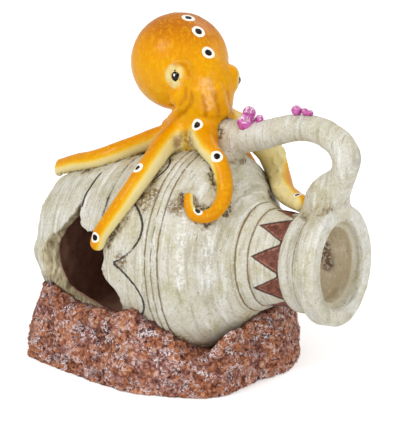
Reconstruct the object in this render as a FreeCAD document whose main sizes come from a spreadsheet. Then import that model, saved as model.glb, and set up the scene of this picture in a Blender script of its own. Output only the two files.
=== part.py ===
"""An octopus figurine: the octopus sits on a broken amphora that lies in a rock base.

Millimetres, +Z up. The origin is on the rock's flat underside, below the amphora's belly. +X runs along the
amphora towards its mouth, and -Y is the front, where the belly is broken open. Each piece is cast by itself and
glued at its joint: a spigot, a boss, a peg or a cut seat.
"""
import FreeCAD
import Part
import Sketcher
import math
import os
from FreeCAD import Placement, Rotation, Vector

SIZES = {
    # Amphora: where the middle of its belly lies, and how far its mouth is lifted
    "belly_x": -2.0,
    "belly_height": 49.0,
    "amphora_tilt": 4.85,
    # Amphora's belly, along and about its own axis, measured from the middle of the belly
    "foot_length": 66.5,
    "foot_radius": 24.0,
    "belly_along": 8.0,
    "belly_radius": 44.8,
    "shoulder_along": 34.8,
    "shoulder_radius": 24.0,
    "heel_along_share": 0.9,
    "heel_radius_share": 0.67,
    "heel_round_share": 0.2,
    "flank_round_share": 8.2,
    "turn_along_share": 0.71,
    "turn_radius_share": 0.75,
    "turn_round_share": 0.78,
    # Hollow of the belly
    "belly_wall": 5.0,
    "hollow_foot_length": 52.0,
    "hollow_shoulder_along": 22.0,
    "hollow_round_share": 0.24,
    "hollow_foot_share": 0.4,
    "hollow_heel_share": 0.62,
    # Turned grooves round the belly
    "groove_radius": 0.9,
    "groove_depth": 0.6,
    "groove_pitch": 6.0,
    # Break in the front of the belly
    "break_depth": 24.0,
    # Neck, collars and rim
    "neck_start": 42.0,
    "neck_start_radius": 20.4,
    "neck_end": 55.0,
    "neck_end_radius": 19.5,
    "collar_length": 6.2,
    "collar_radius": 21.4,
    "collar_round_share": 0.75,
    "band_length": 3.0,
    "band_radius": 22.2,
    "rim_start": 66.0,
    "rim_length": 8.3,
    "rim_radius": 25.3,
    "rim_round": 1.2,
    # Blind mouth
    "mouth_radius": 19.1,
    "mouth_lip_depth": 2.0,
    "mouth_lip_step": 1.3,
    "mouth_ledge_depth": 4.2,
    "mouth_ledge_step": 2.0,
    "mouth_depth": 18.0,
    "mouth_floor_share": 0.2,
    "mouth_round_share": 1.3,
    # Sunk triangles round the neck
    "triangle_count": 9,
    "triangle_angle": 31.0,
    "triangle_depth": 0.5,
    "triangle_width_share": 0.94,
    # Joints between the castings
    "spigot_radius": 14.0,
    "spigot_length": 10.0,
    "peg_radius": 2.5,
    "peg_length": 3.2,
    "boss_radius": 5.0,
    "boss_length": 3.0,
    "glue_gap": 0.15,
    "overrun": 2.0,
    # Handle
    "handle_root_along": 13.0,
    "handle_root_angle": -12.0,
    "handle_root_lift": 5.0,
    "handle_foot_along": 67.0,
    "handle_foot_angle": -8.0,
    "handle_rise": 29.5,
    "handle_radius": 5.8,
    # Octopus: where its crown sits on the belly, and how its head and mantle rise above that
    "crown_along": 3.2,
    "crown_angle": -14.6,
    "crown_lift": 3.0,
    "crown_radius": 15.5,
    "crown_height": 9.0,
    "neck_base_radius": 13.5,
    "neck_top_radius": 10.5,
    "head_side": 12.6,
    "head_fore": 12.5,
    "head_tall": 16.0,
    "head_x": 1.2,
    "head_y": -1.8,
    "head_rise": 22.3,
    "mantle_radius": 20.7,
    "mantle_x": -14.3,
    "mantle_y": 3.8,
    "mantle_rise": 30.5,
    "facing_angle": -38.0,
    "head_roll_angle": -9.5,
    # Eyes: a mound on each side of the head, with a bead set into it
    "mound_radius": 4.3,
    "mound_tall": 6.2,
    "bead_radius": 2.5,
    "eye_side": 10.9,
    "bead_side": 13.4,
    "eye_fore": 2.8,
    "eye_rise": 5.3,
    # Arms
    "arm_radius": 5.0,
    # Coral lobes on the handle
    "lobe_radius": 4.0,
    # Rock base: its height is a share of belly_height
    "rock_left": 68.0,
    "rock_right": 41.0,
    "rock_half_width": 47.0,
    "rock_height_share": 0.6735,
}

# The outline of the broken opening, from the middle of the belly: along as a share of foot_length towards the
# foot, and up as a share of belly_radius. The second pair of each row is the same corner at the inner end of the
# break, which leaves a broad sloping face towards the foot.
BREAK_SHARES = [
    ((-1.10, 0.34), (-0.66, 0.27)),
    ((-0.86, 0.36), (-0.60, 0.31)),
    ((-0.66, 0.36), (-0.55, 0.35)),
    ((-0.56, 0.43), (-0.51, 0.43)),
    ((-0.50, 0.51), (-0.48, 0.51)),
    ((-0.47, 0.43), (-0.45, 0.45)),
    ((-0.41, 0.35), (-0.40, 0.38)),
    ((-0.36, 0.33), (-0.35, 0.36)),
    ((-0.30, 0.37), (-0.30, 0.39)),
    ((-0.24, 0.24), (-0.25, 0.24)),
    ((-0.26, 0.08), (-0.27, 0.08)),
    ((-0.25, -0.06), (-0.27, -0.06)),
    ((-0.16, -0.16), (-0.19, -0.16)),
    ((-0.15, -0.34), (-0.18, -0.32)),
    ((-0.27, -0.45), (-0.29, -0.40)),
    ((-0.50, -0.48), (-0.50, -0.42)),
    ((-0.80, -0.42), (-0.62, -0.38)),
    ((-1.12, -0.26), (-0.70, -0.26)),
    ((-1.30, -0.04), (-0.72, -0.06)),
    ((-1.26, 0.18), (-0.70, 0.14)),
]

# The handle's middle line: along the way from root to foot, and up as a share of handle_rise above the straight
# line from root to foot. Then its half width in the plane of the handle and across it, as shares of its radius.
HANDLE_SHARES = [
    (-0.05, 0.0, 1.3, 1.15),
    (0.13, 0.10, 1.22, 1.12),
    (0.27, 0.24, 1.12, 1.05),
    (0.42, 0.42, 1.03, 1.0),
    (0.55, 0.60, 0.98, 0.97),
    (0.66, 0.745, 0.95, 0.95),
    (0.76, 0.855, 0.94, 0.94),
    (0.87, 0.93, 0.95, 0.95),
    (0.98, 0.965, 0.97, 0.97),
    (1.075, 0.90, 1.0, 1.0),
    (1.13, 0.79, 1.02, 1.0),
    (1.155, 0.66, 1.03, 1.0),
    (1.153, 0.52, 1.05, 1.02),
    (1.125, 0.375, 1.15, 1.05),
    (1.08, 0.24, 1.4, 1.15),
    (1.03, 0.11, 1.7, 1.3),
    (1.0, 0.0, 1.85, 1.45),
    (0.99, -0.08, 1.85, 1.45),
]

# Each arm's route over the amphora: along the axis as a share of belly_radius, degrees round it from the top
# towards the front, and the height above the surface as a share of the arm's half width there. The pair after the
# route is the arm's half width at its root and its tip, as shares of arm_radius.
ARM_SHARES = {
    "octopus_arm_left": (
        [(0.02, -14, 1.4), (-0.14, -13, 1.4), (-0.32, -10, 1.2), (-0.50, -3, 0.85), (-0.68, 6, 0.7),
         (-0.90, 11, 0.65), (-1.16, 9, 0.65), (-1.39, 5, 0.65)],
        (0.98, 0.76),
    ),
    "octopus_arm_front_left": (
        [(0.03, -11, 1.4), (-0.08, -2, 1.1), (-0.09, 9, 0.9), (-0.07, 20, 0.75), (-0.08, 33, 0.7),
         (-0.125, 43, 0.7), (-0.20, 52, 0.7), (-0.285, 60, 0.7), (-0.37, 67, 0.7), (-0.41, 73, 0.7)],
        (1.08, 0.62),
    ),
    "octopus_arm_front_curl": (
        [(0.13, -10, 1.4), (0.20, -3, 1.2), (0.28, 2.5, 1.0), (0.38, 7, 0.8), (0.49, 10, 0.7),
         (0.58, 16, 0.65), (0.63, 24, 0.6), (0.65, 33, 0.6), (0.63, 43, 0.6), (0.58, 49, 0.6),
         (0.52, 50, 0.6), (0.47, 46, 0.6), (0.44, 41, 0.6)],
        (0.98, 0.36),
    ),
    "octopus_arm_right": (
        [(0.10, -18, 1.6), (0.25, -24, 2.0), (0.40, -33, 2.5), (0.52, -41, 2.7), (0.57, -46, 2.4),
         (0.68, -47, 2.4), (0.84, -39, 2.3), (1.01, -28, 1.7), (1.19, -12, 1.3)],
        (0.95, 0.62),
    ),
    "octopus_arm_rear_right": (
        [(0.13, -20, 1.4), (0.16, -35, 1.0), (0.18, -49, 0.7), (0.22, -63, 0.6), (0.25, -78, 0.6),
         (0.21, -92, 0.6), (0.08, -101, 0.6), (-0.04, -98, 0.6)],
        (0.84, 0.36),
    ),
    "octopus_arm_rear": (
        [(0.03, -21, 1.4), (-0.04, -36, 1.0), (-0.06, -50, 0.7), (-0.08, -64, 0.6), (-0.09, -78, 0.6),
         (-0.17, -90, 0.6), (-0.31, -97, 0.6), (-0.42, -95, 0.6)],
        (0.84, 0.36),
    ),
    "octopus_arm_rear_left": (
        [(0.01, -19, 1.4), (-0.20, -31, 1.0), (-0.38, -43, 0.8), (-0.53, -55, 0.6), (-0.61, -68, 0.6),
         (-0.66, -81, 0.6), (-0.78, -91, 0.6), (-0.92, -91, 0.6)],
        (0.84, 0.36),
    ),
    "octopus_arm_back_left": (
        [(0.0, -17, 1.4), (-0.30, -23, 1.1), (-0.58, -27, 0.8), (-0.86, -30, 0.65), (-1.06, -38, 0.6),
         (-1.15, -50, 0.6), (-1.12, -64, 0.6)],
        (0.84, 0.4),
    ),
}

# Sections that round an arm's tip, as shares of the tip's half width
TIP_SHARES = [0.0, 0.5, 0.82, 0.97]
# Stretches of equal length between an arm's root and the start of its tip
ARM_STEPS = 14

# Coral lobes: along the way from the handle's root to its foot, the height of the lobe's middle above the bar's
# surface as a share of its own radius, a sideways place as a share of it, and its radius as a share of lobe_radius
CORAL_SHARES = {
    "coral_cluster_near_crown": [
        (0.30, 0.0, 0.5, 1.0), (0.33, 1.2, 0.3, 0.76), (0.41, 0.4, 0.4, 0.52),
    ],
    "coral_cluster_on_handle": [(0.725, 0.7, 0.0, 0.6), (0.785, 0.7, 0.1, 0.44), (0.825, 0.7, 0.1, 0.38)],
}

# The rock's outline on the ground: left and right as shares of rock_left and rock_right, front and back as
# shares of rock_half_width
ROCK_SHARES = [
    (-0.96, -0.70), (-0.86, -0.85), (-0.62, -0.93), (-0.32, -1.01), (-0.06, -1.05), (0.20, -0.99),
    (0.54, -0.88), (0.82, -0.70), (0.89, -0.46), (0.93, -0.23), (1.06, 0.10), (1.00, 0.41), (0.87, 0.63),
    (0.68, 0.81), (0.24, 0.94), (-0.12, 0.98), (-0.41, 0.96), (-0.68, 0.89), (-0.88, 0.72), (-0.99, 0.38),
    (-1.03, 0.0), (-1.01, -0.38),
]
# The rock's growth with height: up as a share of the rock's height, and the outline's size there
ROCK_STEP_SHARES = [(0.0, 1.0), (0.25, 1.0), (0.6, 0.96), (1.12, 0.865)]
# The rock's top edge seen from the front: along as in ROCK_SHARES, and up as a share of the rock's height
ROCK_TOP_SHARES = [
    (-1.12, 0.90), (-0.93, 1.0), (-0.72, 1.01), (-0.57, 0.89), (-0.37, 0.89), (-0.17, 0.98), (-0.04, 1.07),
    (0.10, 0.99), (0.28, 0.87), (0.42, 0.62), (0.54, 0.50), (0.65, 0.58), (0.80, 0.82), (0.98, 0.94),
    (1.15, 0.86),
]

doc = FreeCAD.newDocument("octopus_figurine")
sheet = doc.addObject("Spreadsheet::Sheet", "sizes")


def fill_sheet():
    """Writes each size to a row of its own: its name, and its value under that name as the alias."""
    for row, (alias, value) in enumerate(SIZES.items(), start=1):
        sheet.set(f"A{row}", alias)
        sheet.set(f"B{row}", str(value))
        sheet.setAlias(f"B{row}", alias)
    doc.recompute()


def size(expression):
    """The value of an expression in the sheet's names."""
    return float(sheet.evalExpression(expression))


fill_sheet()

# Outlines turned about the amphora's axis. Each corner is along and radius, and a third entry is the radius of
# the arc from that corner to the next, which bows outwards.
BELLY_OUTLINE = [
    ("-foot_length", "foot_radius", "heel_round_share * belly_radius"),
    ("-heel_along_share * foot_length", "heel_radius_share * belly_radius", "flank_round_share * belly_radius"),
    ("belly_along", "belly_radius", "turn_round_share * (shoulder_along - belly_along)"),
    ("belly_along + turn_along_share * (shoulder_along - belly_along)", "turn_radius_share * belly_radius"),
    ("shoulder_along", "shoulder_radius"),
]
NECK_OUTLINE = [
    ("shoulder_along", "shoulder_radius"),
    ("neck_start", "neck_start_radius"),
    ("neck_end", "neck_end_radius"),
    ("neck_end", "neck_end_radius + (collar_radius - neck_end_radius) / 2", "collar_length * collar_round_share"),
    ("neck_end + collar_length", "neck_end_radius + (collar_radius - neck_end_radius) / 2"),
    ("neck_end + collar_length", "neck_end_radius + (band_radius - neck_end_radius) / 2"),
    ("neck_end + collar_length + band_length", "band_radius"),
    ("rim_start", "band_radius"),
    ("rim_start", "rim_radius - rim_round", "rim_round"),
    ("rim_start + rim_round", "rim_radius"),
    ("rim_start + rim_length - rim_round", "rim_radius", "rim_round"),
    ("rim_start + rim_length", "rim_radius - rim_round"),
]
HOLLOW_OUTLINE = [
    ("-hollow_foot_length", "0"),
    ("-hollow_foot_length", "belly_radius * hollow_foot_share", "hollow_round_share * belly_radius"),
    ("-hollow_foot_length + belly_wall", "belly_radius * hollow_heel_share", "flank_round_share * belly_radius"),
    ("belly_along", "belly_radius - belly_wall", "turn_round_share * (shoulder_along - belly_along)"),
    ("hollow_shoulder_along", "turn_radius_share * belly_radius - belly_wall / 2"),
    ("hollow_shoulder_along", "0"),
]
MOUTH_OUTLINE = [
    ("rim_start + rim_length - mouth_depth", "0"),
    ("rim_start + rim_length - mouth_depth", "mouth_radius * mouth_floor_share", "mouth_radius * mouth_round_share"),
    ("rim_start + rim_length - mouth_ledge_depth", "mouth_radius - mouth_lip_step - mouth_ledge_step"),
    ("rim_start + rim_length - mouth_ledge_depth", "mouth_radius - mouth_lip_step"),
    ("rim_start + rim_length - mouth_lip_depth", "mouth_radius - mouth_lip_step"),
    ("rim_start + rim_length", "mouth_radius"),
    ("rim_start + rim_length", "0"),
]


def bow(start, end, radius):
    """The middle of the short arc from start to end that bows to the left of the way."""
    chord = end - start
    left = Vector(-chord.y, chord.x, 0).normalize()
    half = chord.Length / 2
    height = radius - math.sqrt(max(radius**2 - half**2, 0))
    return (start + end) / 2 + left * height


def corner_points(outline):
    return [Vector(size(row[0]), size(row[1]), 0) for row in outline]


def in_sheet(expression):
    """An expression in the sheet's names, as another object of the document has to write it."""
    words = expression.replace("(", " ( ").replace(")", " ) ").split()
    names = ["<<sizes>>." + word if word in SIZES else word for word in words]
    negated = ["-<<sizes>>." + word[1:] if word.startswith("-") and word[1:] in SIZES else word for word in names]
    return " ".join(negated)


def pin(sketch, edge, place, point, row):
    """Ties one end of an edge to the sheet, across and up."""
    for kind, value, expression, axis in (("DistanceX", point.x, row[0], -2), ("DistanceY", point.y, row[1], -1)):
        if expression == "0":
            sketch.addConstraint(Sketcher.Constraint("PointOnObject", edge, place, axis))
        else:
            index = sketch.addConstraint(Sketcher.Constraint(kind, edge, place, value))
            sketch.setExpression(f"Constraints[{index}]", in_sheet(expression))


def draw_outline(body, name, outline, offset=None):
    """A closed outline in the body's XZ plane, whose corners and arcs are bound to the sheet."""
    sketch = body.newObject("Sketcher::SketchObject", name)
    plane = next(item for item in body.Origin.OriginFeatures if item.Role == "XZ_Plane")
    sketch.AttachmentSupport = [(plane, "")]
    sketch.MapMode = "FlatFace"
    if offset:
        sketch.setExpression("AttachmentOffset.Base.z", in_sheet(offset))
    points = corner_points(outline)
    ends = []
    for index, row in enumerate(outline):
        start = points[index]
        end = points[(index + 1) % len(points)]
        if len(row) == 3:
            arc = Part.Arc(end, bow(start, end, size(row[2])), start)
            edge = sketch.addGeometry(arc, False)
            ends.append((edge, 2, 1))
            radius = sketch.addConstraint(Sketcher.Constraint("Radius", edge, size(row[2])))
            sketch.setExpression(f"Constraints[{radius}]", in_sheet(row[2]))
        else:
            edge = sketch.addGeometry(Part.LineSegment(start, end), False)
            ends.append((edge, 1, 2))
    for index, row in enumerate(outline):
        edge, first, _ = ends[index]
        before, _, last = ends[index - 1]
        sketch.addConstraint(Sketcher.Constraint("Coincident", before, last, edge, first))
        pin(sketch, edge, first, points[index], row)
    return sketch


def turn(body, kind, name, outline):
    """Turns an outline about the amphora's axis, to add to the body or to cut it."""
    sketch = draw_outline(body, name + "_outline", outline)
    feature = body.newObject("PartDesign::" + kind, name)
    feature.Profile = sketch
    feature.ReferenceAxis = (sketch, ["H_Axis"])
    feature.Angle = 360
    return feature


def amphora_frame():
    """The amphora's own frame, with X along its axis."""
    return Placement(Vector(size("belly_x"), 0, size("belly_height")), Rotation(Vector(0, -1, 0), size("amphora_tilt")))


def new_body(name):
    body = doc.addObject("PartDesign::Body", name)
    body.Placement = amphora_frame()
    body.setExpression("Placement.Base.x", "<<sizes>>.belly_x")
    body.setExpression("Placement.Base.z", "<<sizes>>.belly_height")
    return body


def closed(outline):
    """The outline with corners on the axis at both ends."""
    return [(outline[0][0], "0"), *outline, (outline[-1][0], "0")]


def groove_ring(body, name, along, radius):
    """A turned groove: a half-round cut of groove_depth at a place along the axis."""
    reach = "groove_radius"
    floor = f"{radius} - groove_depth"
    outline = [
        (f"{along} - {reach}", f"{radius} + overrun"),
        (f"{along} - {reach}", radius),
        (along, floor),
        (f"{along} + {reach}", radius),
        (f"{along} + {reach}", f"{radius} + overrun"),
    ]
    return turn(body, "Groove", name, outline)


def part_object(kind, name, placement=None, **expressions):
    """A primitive with each of its own sizes bound to the sheet."""
    item = doc.addObject("Part::" + kind, name)
    for prop, expression in expressions.items():
        item.setExpression(prop, in_sheet(expression))
    if placement:
        item.Placement = placement
    return item


def joined(name, pieces):
    fuse = doc.addObject("Part::MultiFuse", name)
    fuse.Shapes = pieces
    return fuse


def cut(name, base, tool):
    item = doc.addObject("Part::Cut", name)
    item.Base = base
    item.Tool = tool
    return item


def surface_radius(along):
    """The plain amphora's radius at a place along its axis."""
    outline = BELLY_OUTLINE + NECK_OUTLINE
    points = corner_points(outline)
    for index, row in enumerate(outline[:-1]):
        start, end = points[index], points[index + 1]
        if end.x > start.x and start.x <= along <= end.x:
            share = (along - start.x) / (end.x - start.x)
            straight = start + (end - start) * share
            if len(row) < 3:
                return straight.y
            middle = bow(start, end, size(row[2]))
            arc = Part.Arc(start, middle, end)
            return arc.value(arc.parameter(straight)).y
    return points[-1].y if along > points[-1].x else points[0].y


def on_amphora(along, angle, lift):
    """A point over the amphora, its outward direction and its place: degrees round from the top to the front."""
    turned = math.radians(angle)
    out = Vector(0, -math.sin(turned), math.cos(turned))
    local = Vector(along, 0, 0) + out * (surface_radius(along) + lift)
    frame = amphora_frame()
    return frame.multVec(local), frame.Rotation.multVec(out)


def ring(centre, across, up, half_width, half_height):
    """A closed smooth section round a centre."""
    count = 12
    points = []
    for index in range(count):
        turned = 2 * math.pi * index / count
        points.append(centre + across * (half_width * math.cos(turned)) + up * (half_height * math.sin(turned)))
    curve = Part.BSplineCurve()
    curve.interpolate(Points=points, PeriodicFlag=True)
    return Part.Wire([curve.toShape()])


def feature(name, shape):
    item = doc.addObject("Part::Feature", name)
    item.Shape = shape
    return item


def make_envelope():
    """The plain outside of the amphora, which every seat on it is cut to."""
    body = new_body("amphora_envelope")
    turn(body, "Revolution", "envelope", closed(BELLY_OUTLINE[:-1] + NECK_OUTLINE))
    return body


def break_outline(side):
    """The corners of the broken opening at its outer end, side 0, or at its inner end, side 1."""
    return [(f"foot_length * {row[side][0]}", f"belly_radius * {row[side][1]}") for row in BREAK_SHARES]


def make_belly():
    """The hollow belly, with its grooves, its broken front and the bore for the neck's spigot."""
    body = new_body("belly")
    turn(body, "Revolution", "belly_solid", closed(BELLY_OUTLINE))
    turn(body, "Groove", "hollow", HOLLOW_OUTLINE)
    bore = [
        ("hollow_shoulder_along - overrun", "0"),
        ("hollow_shoulder_along - overrun", "spigot_radius + glue_gap"),
        ("shoulder_along + overrun", "spigot_radius + glue_gap"),
        ("shoulder_along + overrun", "0"),
    ]
    turn(body, "Groove", "spigot_bore", bore)
    groove_ring(body, "groove_left", "belly_along - groove_pitch / 3", "belly_radius")
    groove_ring(body, "groove_right", "belly_along + groove_pitch * 2 / 3", "belly_radius")
    outer = draw_outline(body, "break_outer", break_outline(0), "belly_radius + overrun")
    inner = draw_outline(body, "break_inner", break_outline(1), "break_depth")
    opening = body.newObject("PartDesign::SubtractiveLoft", "break_opening")
    opening.Profile = outer
    opening.Sections = [inner]
    opening.Ruled = True
    return body


def pin_on_amphora(name, along, angle, radius, length):
    """A round pin square to the amphora's surface, from its own depth inside to the same height outside."""
    point, out = on_amphora(along, angle, -size(length))
    place = Placement(point, Rotation(Vector(0, 0, 1), out))
    return part_object("Cylinder", name, place, Radius=radius, Height=f"2 * ( {length} )")


def root_pin(name, gap):
    angle = size("handle_root_angle")
    return pin_on_amphora(name, size("handle_root_along"), angle, "peg_radius" + gap, "peg_length" + gap)


def foot_pin(name, gap):
    angle = size("handle_foot_angle")
    return pin_on_amphora(name, size("handle_foot_along"), angle, "peg_radius" + gap, "peg_length" + gap)


def crown_pin(name, gap):
    angle = size("crown_angle")
    return pin_on_amphora(name, size("crown_along"), angle, "boss_radius" + gap, "boss_length" + gap)


GLUE = " + glue_gap"


def make_amphora_body():
    sockets = joined("belly_sockets", [root_pin("root_socket", GLUE), crown_pin("crown_socket", GLUE)])
    return cut("amphora_body", make_belly(), sockets)


def make_triangles():
    """The tool that sinks the triangles: a sleeve round the neck, kept only where a triangle is."""
    turned = Rotation(Vector(0, 1, 0), 90)
    start = amphora_frame() * Placement(Vector(size("neck_start"), 0, 0), turned)
    length = "neck_end - neck_start"
    outside = part_object("Cylinder", "sleeve_outside", start, Radius="shoulder_radius", Height=length)
    inside = part_object(
        "Cone", "sleeve_inside", start, Height=length,
        Radius1="neck_start_radius - triangle_depth", Radius2="neck_end_radius - triangle_depth",
    )
    sleeve = cut("sleeve", outside, inside)
    count = round(size("triangle_count"))
    pitch = 360 / count
    half = f"triangle_width_share * neck_end_radius * {math.tan(math.pi / count):.4f}"
    wedges = []
    for index in range(count):
        about = Placement(Vector(), Rotation(Vector(1, 0, 0), index * pitch + size("triangle_angle")))
        point = Placement(Vector(size("neck_end"), 0, 0), Rotation(Vector(0, 0, 1), 90))
        wedge = part_object(
            "Wedge", f"triangle_{index}", amphora_frame() * about * point,
            Xmin=f"- {half}", Xmax=half, X2min="0", X2max="0", Ymin="0", Ymax=length,
            Zmin="neck_end_radius / 2", Z2min="neck_end_radius / 2", Zmax="shoulder_radius",
            Z2max="shoulder_radius",
        )
        wedges.append(wedge)
    kept = doc.addObject("Part::Common", "triangles")
    kept.Base = sleeve
    kept.Tool = joined("wedges", wedges)
    return kept


def make_amphora_neck():
    body = new_body("neck")
    spigot = [
        ("shoulder_along - spigot_length", "0"),
        ("shoulder_along - spigot_length", "spigot_radius"),
        ("shoulder_along", "spigot_radius"),
    ]
    turn(body, "Revolution", "neck_solid", [*spigot, *NECK_OUTLINE, ("rim_start + rim_length", "0")])
    turn(body, "Groove", "mouth", MOUTH_OUTLINE)
    groove_ring(body, "groove_shoulder", "shoulder_along + groove_radius", "shoulder_radius - groove_depth")
    groove_ring(body, "groove_neck", "neck_start - 2 * groove_radius", "neck_start_radius + groove_depth")
    tools = joined("neck_cuts", [make_triangles(), foot_pin("foot_socket", GLUE)])
    return cut("amphora_neck", body, tools)


def handle_ends():
    root, _ = on_amphora(size("handle_root_along"), size("handle_root_angle"), size("handle_root_lift"))
    foot, _ = on_amphora(size("handle_foot_along"), size("handle_foot_angle"), 0)
    return root, foot


def handle_place(share, rise_share):
    """A point of the handle's middle line, above the line from root to foot, which is level past each end."""
    root, foot = handle_ends()
    point = root + (foot - root) * share
    point.z = root.z + (foot.z - root.z) * min(max(share, 0), 1) + rise_share * size("handle_rise")
    return point


def handle_sections():
    """For each row of the handle's shares: its middle, its outward direction, and its half width and depth."""
    root, foot = handle_ends()
    across = (foot - root).cross(Vector(0, 0, 1)).normalize()
    points = [handle_place(row[0], row[1]) for row in HANDLE_SHARES]
    bar = size("handle_radius")
    sections = []
    for index, row in enumerate(HANDLE_SHARES):
        before = points[max(index - 1, 0)]
        after = points[min(index + 1, len(points) - 1)]
        out = across.cross(after - before).normalize()
        sections.append((points[index], out, across, row[2] * bar, row[3] * bar))
    return sections


def make_handle_bar():
    wires = [ring(point, out, across, wide, deep) for point, out, across, wide, deep in handle_sections()]
    return feature("handle_bar", Part.makeLoft(wires, True, True))


def make_handle(bar, envelope):
    pegs = [root_pin("root_peg", ""), foot_pin("foot_peg", "")]
    return joined("amphora_handle", [cut("seated_bar", bar, envelope), *pegs])


def crown_place():
    point, _ = on_amphora(size("crown_along"), size("crown_angle"), size("crown_lift"))
    return point


def above_crown(across, back, rise):
    return crown_place() + Vector(size(across), size(back), size(rise))


def ellipsoid(name, place, fore, side, tall):
    return part_object("Ellipsoid", name, place, Radius1=tall, Radius2=fore, Radius3=side)


def eye_place(side, reach):
    """The middle of an eye's mound, and its bead's, on the side of the head: 1 is the side towards the back."""
    turned = Rotation(Vector(0, 0, 1), size("facing_angle")) * Rotation(Vector(1, 0, 0), size("head_roll_angle"))
    head = Placement(above_crown("head_x", "head_y", "head_rise"), turned)
    return head * Placement(Vector(size("eye_fore"), side * size(reach), size("eye_rise")), Rotation())


EYE_SIDES = {"eye_left": -1, "eye_right": 1}


def make_eyes():
    return {
        name: part_object("Sphere", name, eye_place(side, "bead_side"), Radius="bead_radius")
        for name, side in EYE_SIDES.items()
    }


def make_octopus_core(envelope, bar):
    """Mantle, head, neck, crown and eye mounds in one, seated on the amphora."""
    turned = Rotation(Vector(0, 0, 1), size("facing_angle"))
    crown = crown_place()
    head = above_crown("head_x", "head_y", "head_rise")
    mantle_place = Placement(above_crown("mantle_x", "mantle_y", "mantle_rise"), turned)
    neck_place = Placement(crown, Rotation(Vector(0, 0, 1), head - crown))
    pieces = [
        part_object("Sphere", "mantle", mantle_place, Radius="mantle_radius"),
        ellipsoid("head", Placement(head, turned), "head_fore", "head_side", "head_tall"),
        part_object(
            "Cone", "octopus_neck", neck_place,
            Radius1="neck_base_radius", Radius2="neck_top_radius", Height="head_rise",
        ),
        ellipsoid("crown", Placement(crown, turned), "crown_radius", "crown_radius", "crown_height"),
    ]
    for name, side in EYE_SIDES.items():
        place = Placement(eye_place(side, "eye_side").Base, turned)
        pieces.append(ellipsoid(name + "_mound", place, "mound_radius", "mound_radius", "mound_tall"))
    seated = cut("octopus_forms_seated", joined("octopus_forms", pieces), envelope)
    return cut("octopus_core", seated, bar)


def make_octopus_body(core, eyes):
    with_boss = joined("octopus_with_boss", [core, crown_pin("crown_boss", "")])
    return cut("octopus_body", with_boss, joined("eye_beads", list(eyes.values())))


def arm_sections(route, widths):
    """Middles, directions and half widths along one arm's smooth middle line, closing in a round tip."""
    root_half, tip_half = (size("arm_radius") * share for share in widths)
    points = []
    for index, (along, angle, lift) in enumerate(route):
        half = root_half + (tip_half - root_half) * index / (len(route) - 1)
        points.append(on_amphora(along * size("belly_radius"), angle, lift * half)[0])
    line = Part.BSplineCurve()
    line.interpolate(Points=points)
    length = line.length()
    round_start = length - tip_half
    steps = [round_start * step / ARM_STEPS for step in range(ARM_STEPS)]
    steps += [round_start + tip_half * share for share in TIP_SHARES]
    sections = []
    for step in steps:
        parameter = line.parameterAtDistance(step)
        half = root_half + (tip_half - root_half) * min(step / round_start, 1)
        past = max(step - round_start, 0) / tip_half
        sections.append((line.value(parameter), Vector(*line.tangent(parameter)), half * math.sqrt(1 - past**2)))
    return sections


def outward(point):
    """The direction from the amphora's axis to a point, square to the axis."""
    frame = amphora_frame()
    local = frame.inverse().multVec(point)
    return frame.Rotation.multVec(Vector(0, local.y, local.z).normalize())


def make_arm(name, tools):
    wires = []
    up = None
    for point, ahead, half in arm_sections(*ARM_SHARES[name]):
        up = up or outward(point)
        across = ahead.cross(up).normalize()
        up = across.cross(ahead).normalize()
        wires.append(ring(point, across, up, half, half))
    arm = feature(name + "_whole", Part.makeLoft(wires, True, True))
    for number, tool in enumerate(tools[:-1]):
        arm = cut(f"{name}_seat_{number}", arm, tool)
    return cut(name, arm, tools[-1])


def make_coral(name, bar):
    """Round lobes that sit on the handle's bar, each a little into the next, cut to the bar."""
    rows = handle_sections()
    shares = [row[0] for row in HANDLE_SHARES]
    lobes = []
    for index, (share, height, side, scale) in enumerate(CORAL_SHARES[name]):
        after = next(place for place, value in enumerate(shares) if value > share)
        part = (share - shares[after - 1]) / (shares[after] - shares[after - 1])
        low, high = rows[after - 1], rows[after]
        middle = low[0] + (high[0] - low[0]) * part
        radius = size("lobe_radius") * scale
        place = middle + low[1] * (low[3] + height * radius) + low[2] * (side * radius)
        radius_text = f"lobe_radius * {scale}"
        lobes.append(part_object("Sphere", f"{name}_{index}", Placement(place, Rotation()), Radius=radius_text))
    return cut(name, joined(name + "_lobes", lobes), bar)


def rock_point(across, back):
    reach = size("rock_left") if across < 0 else size("rock_right")
    return Vector(across * reach, back * size("rock_half_width"), 0)


def make_rock(envelope):
    """A wavy mound, low in the middle of each side, with a cradle cut to the amphora."""
    height = size("belly_height * rock_height_share")
    wires = []
    for rise, growth in ROCK_STEP_SHARES:
        points = [rock_point(*row) * growth + Vector(0, 0, rise * height) for row in ROCK_SHARES]
        curve = Part.BSplineCurve()
        curve.interpolate(Points=points, PeriodicFlag=True)
        wires.append(Part.Wire([curve.toShape()]))
    mound = Part.makeLoft(wires, True, False)
    reach = 2 * size("rock_half_width")
    top = [rock_point(row[0], 0) + Vector(0, -reach, row[1] * height) for row in ROCK_TOP_SHARES]
    curve = Part.BSplineCurve()
    curve.interpolate(Points=top)
    left, right = (Vector(point.x, point.y, 0) for point in (top[0], top[-1]))
    sides = [Part.makeLine(top[-1], right), Part.makeLine(right, left), Part.makeLine(left, top[0])]
    face = Part.Face(Part.Wire([curve.toShape(), *sides]))
    mound = mound.common(face.extrude(Vector(0, 2 * reach, 0)))
    return cut("rock_base", feature("mound", mound), envelope)


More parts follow.
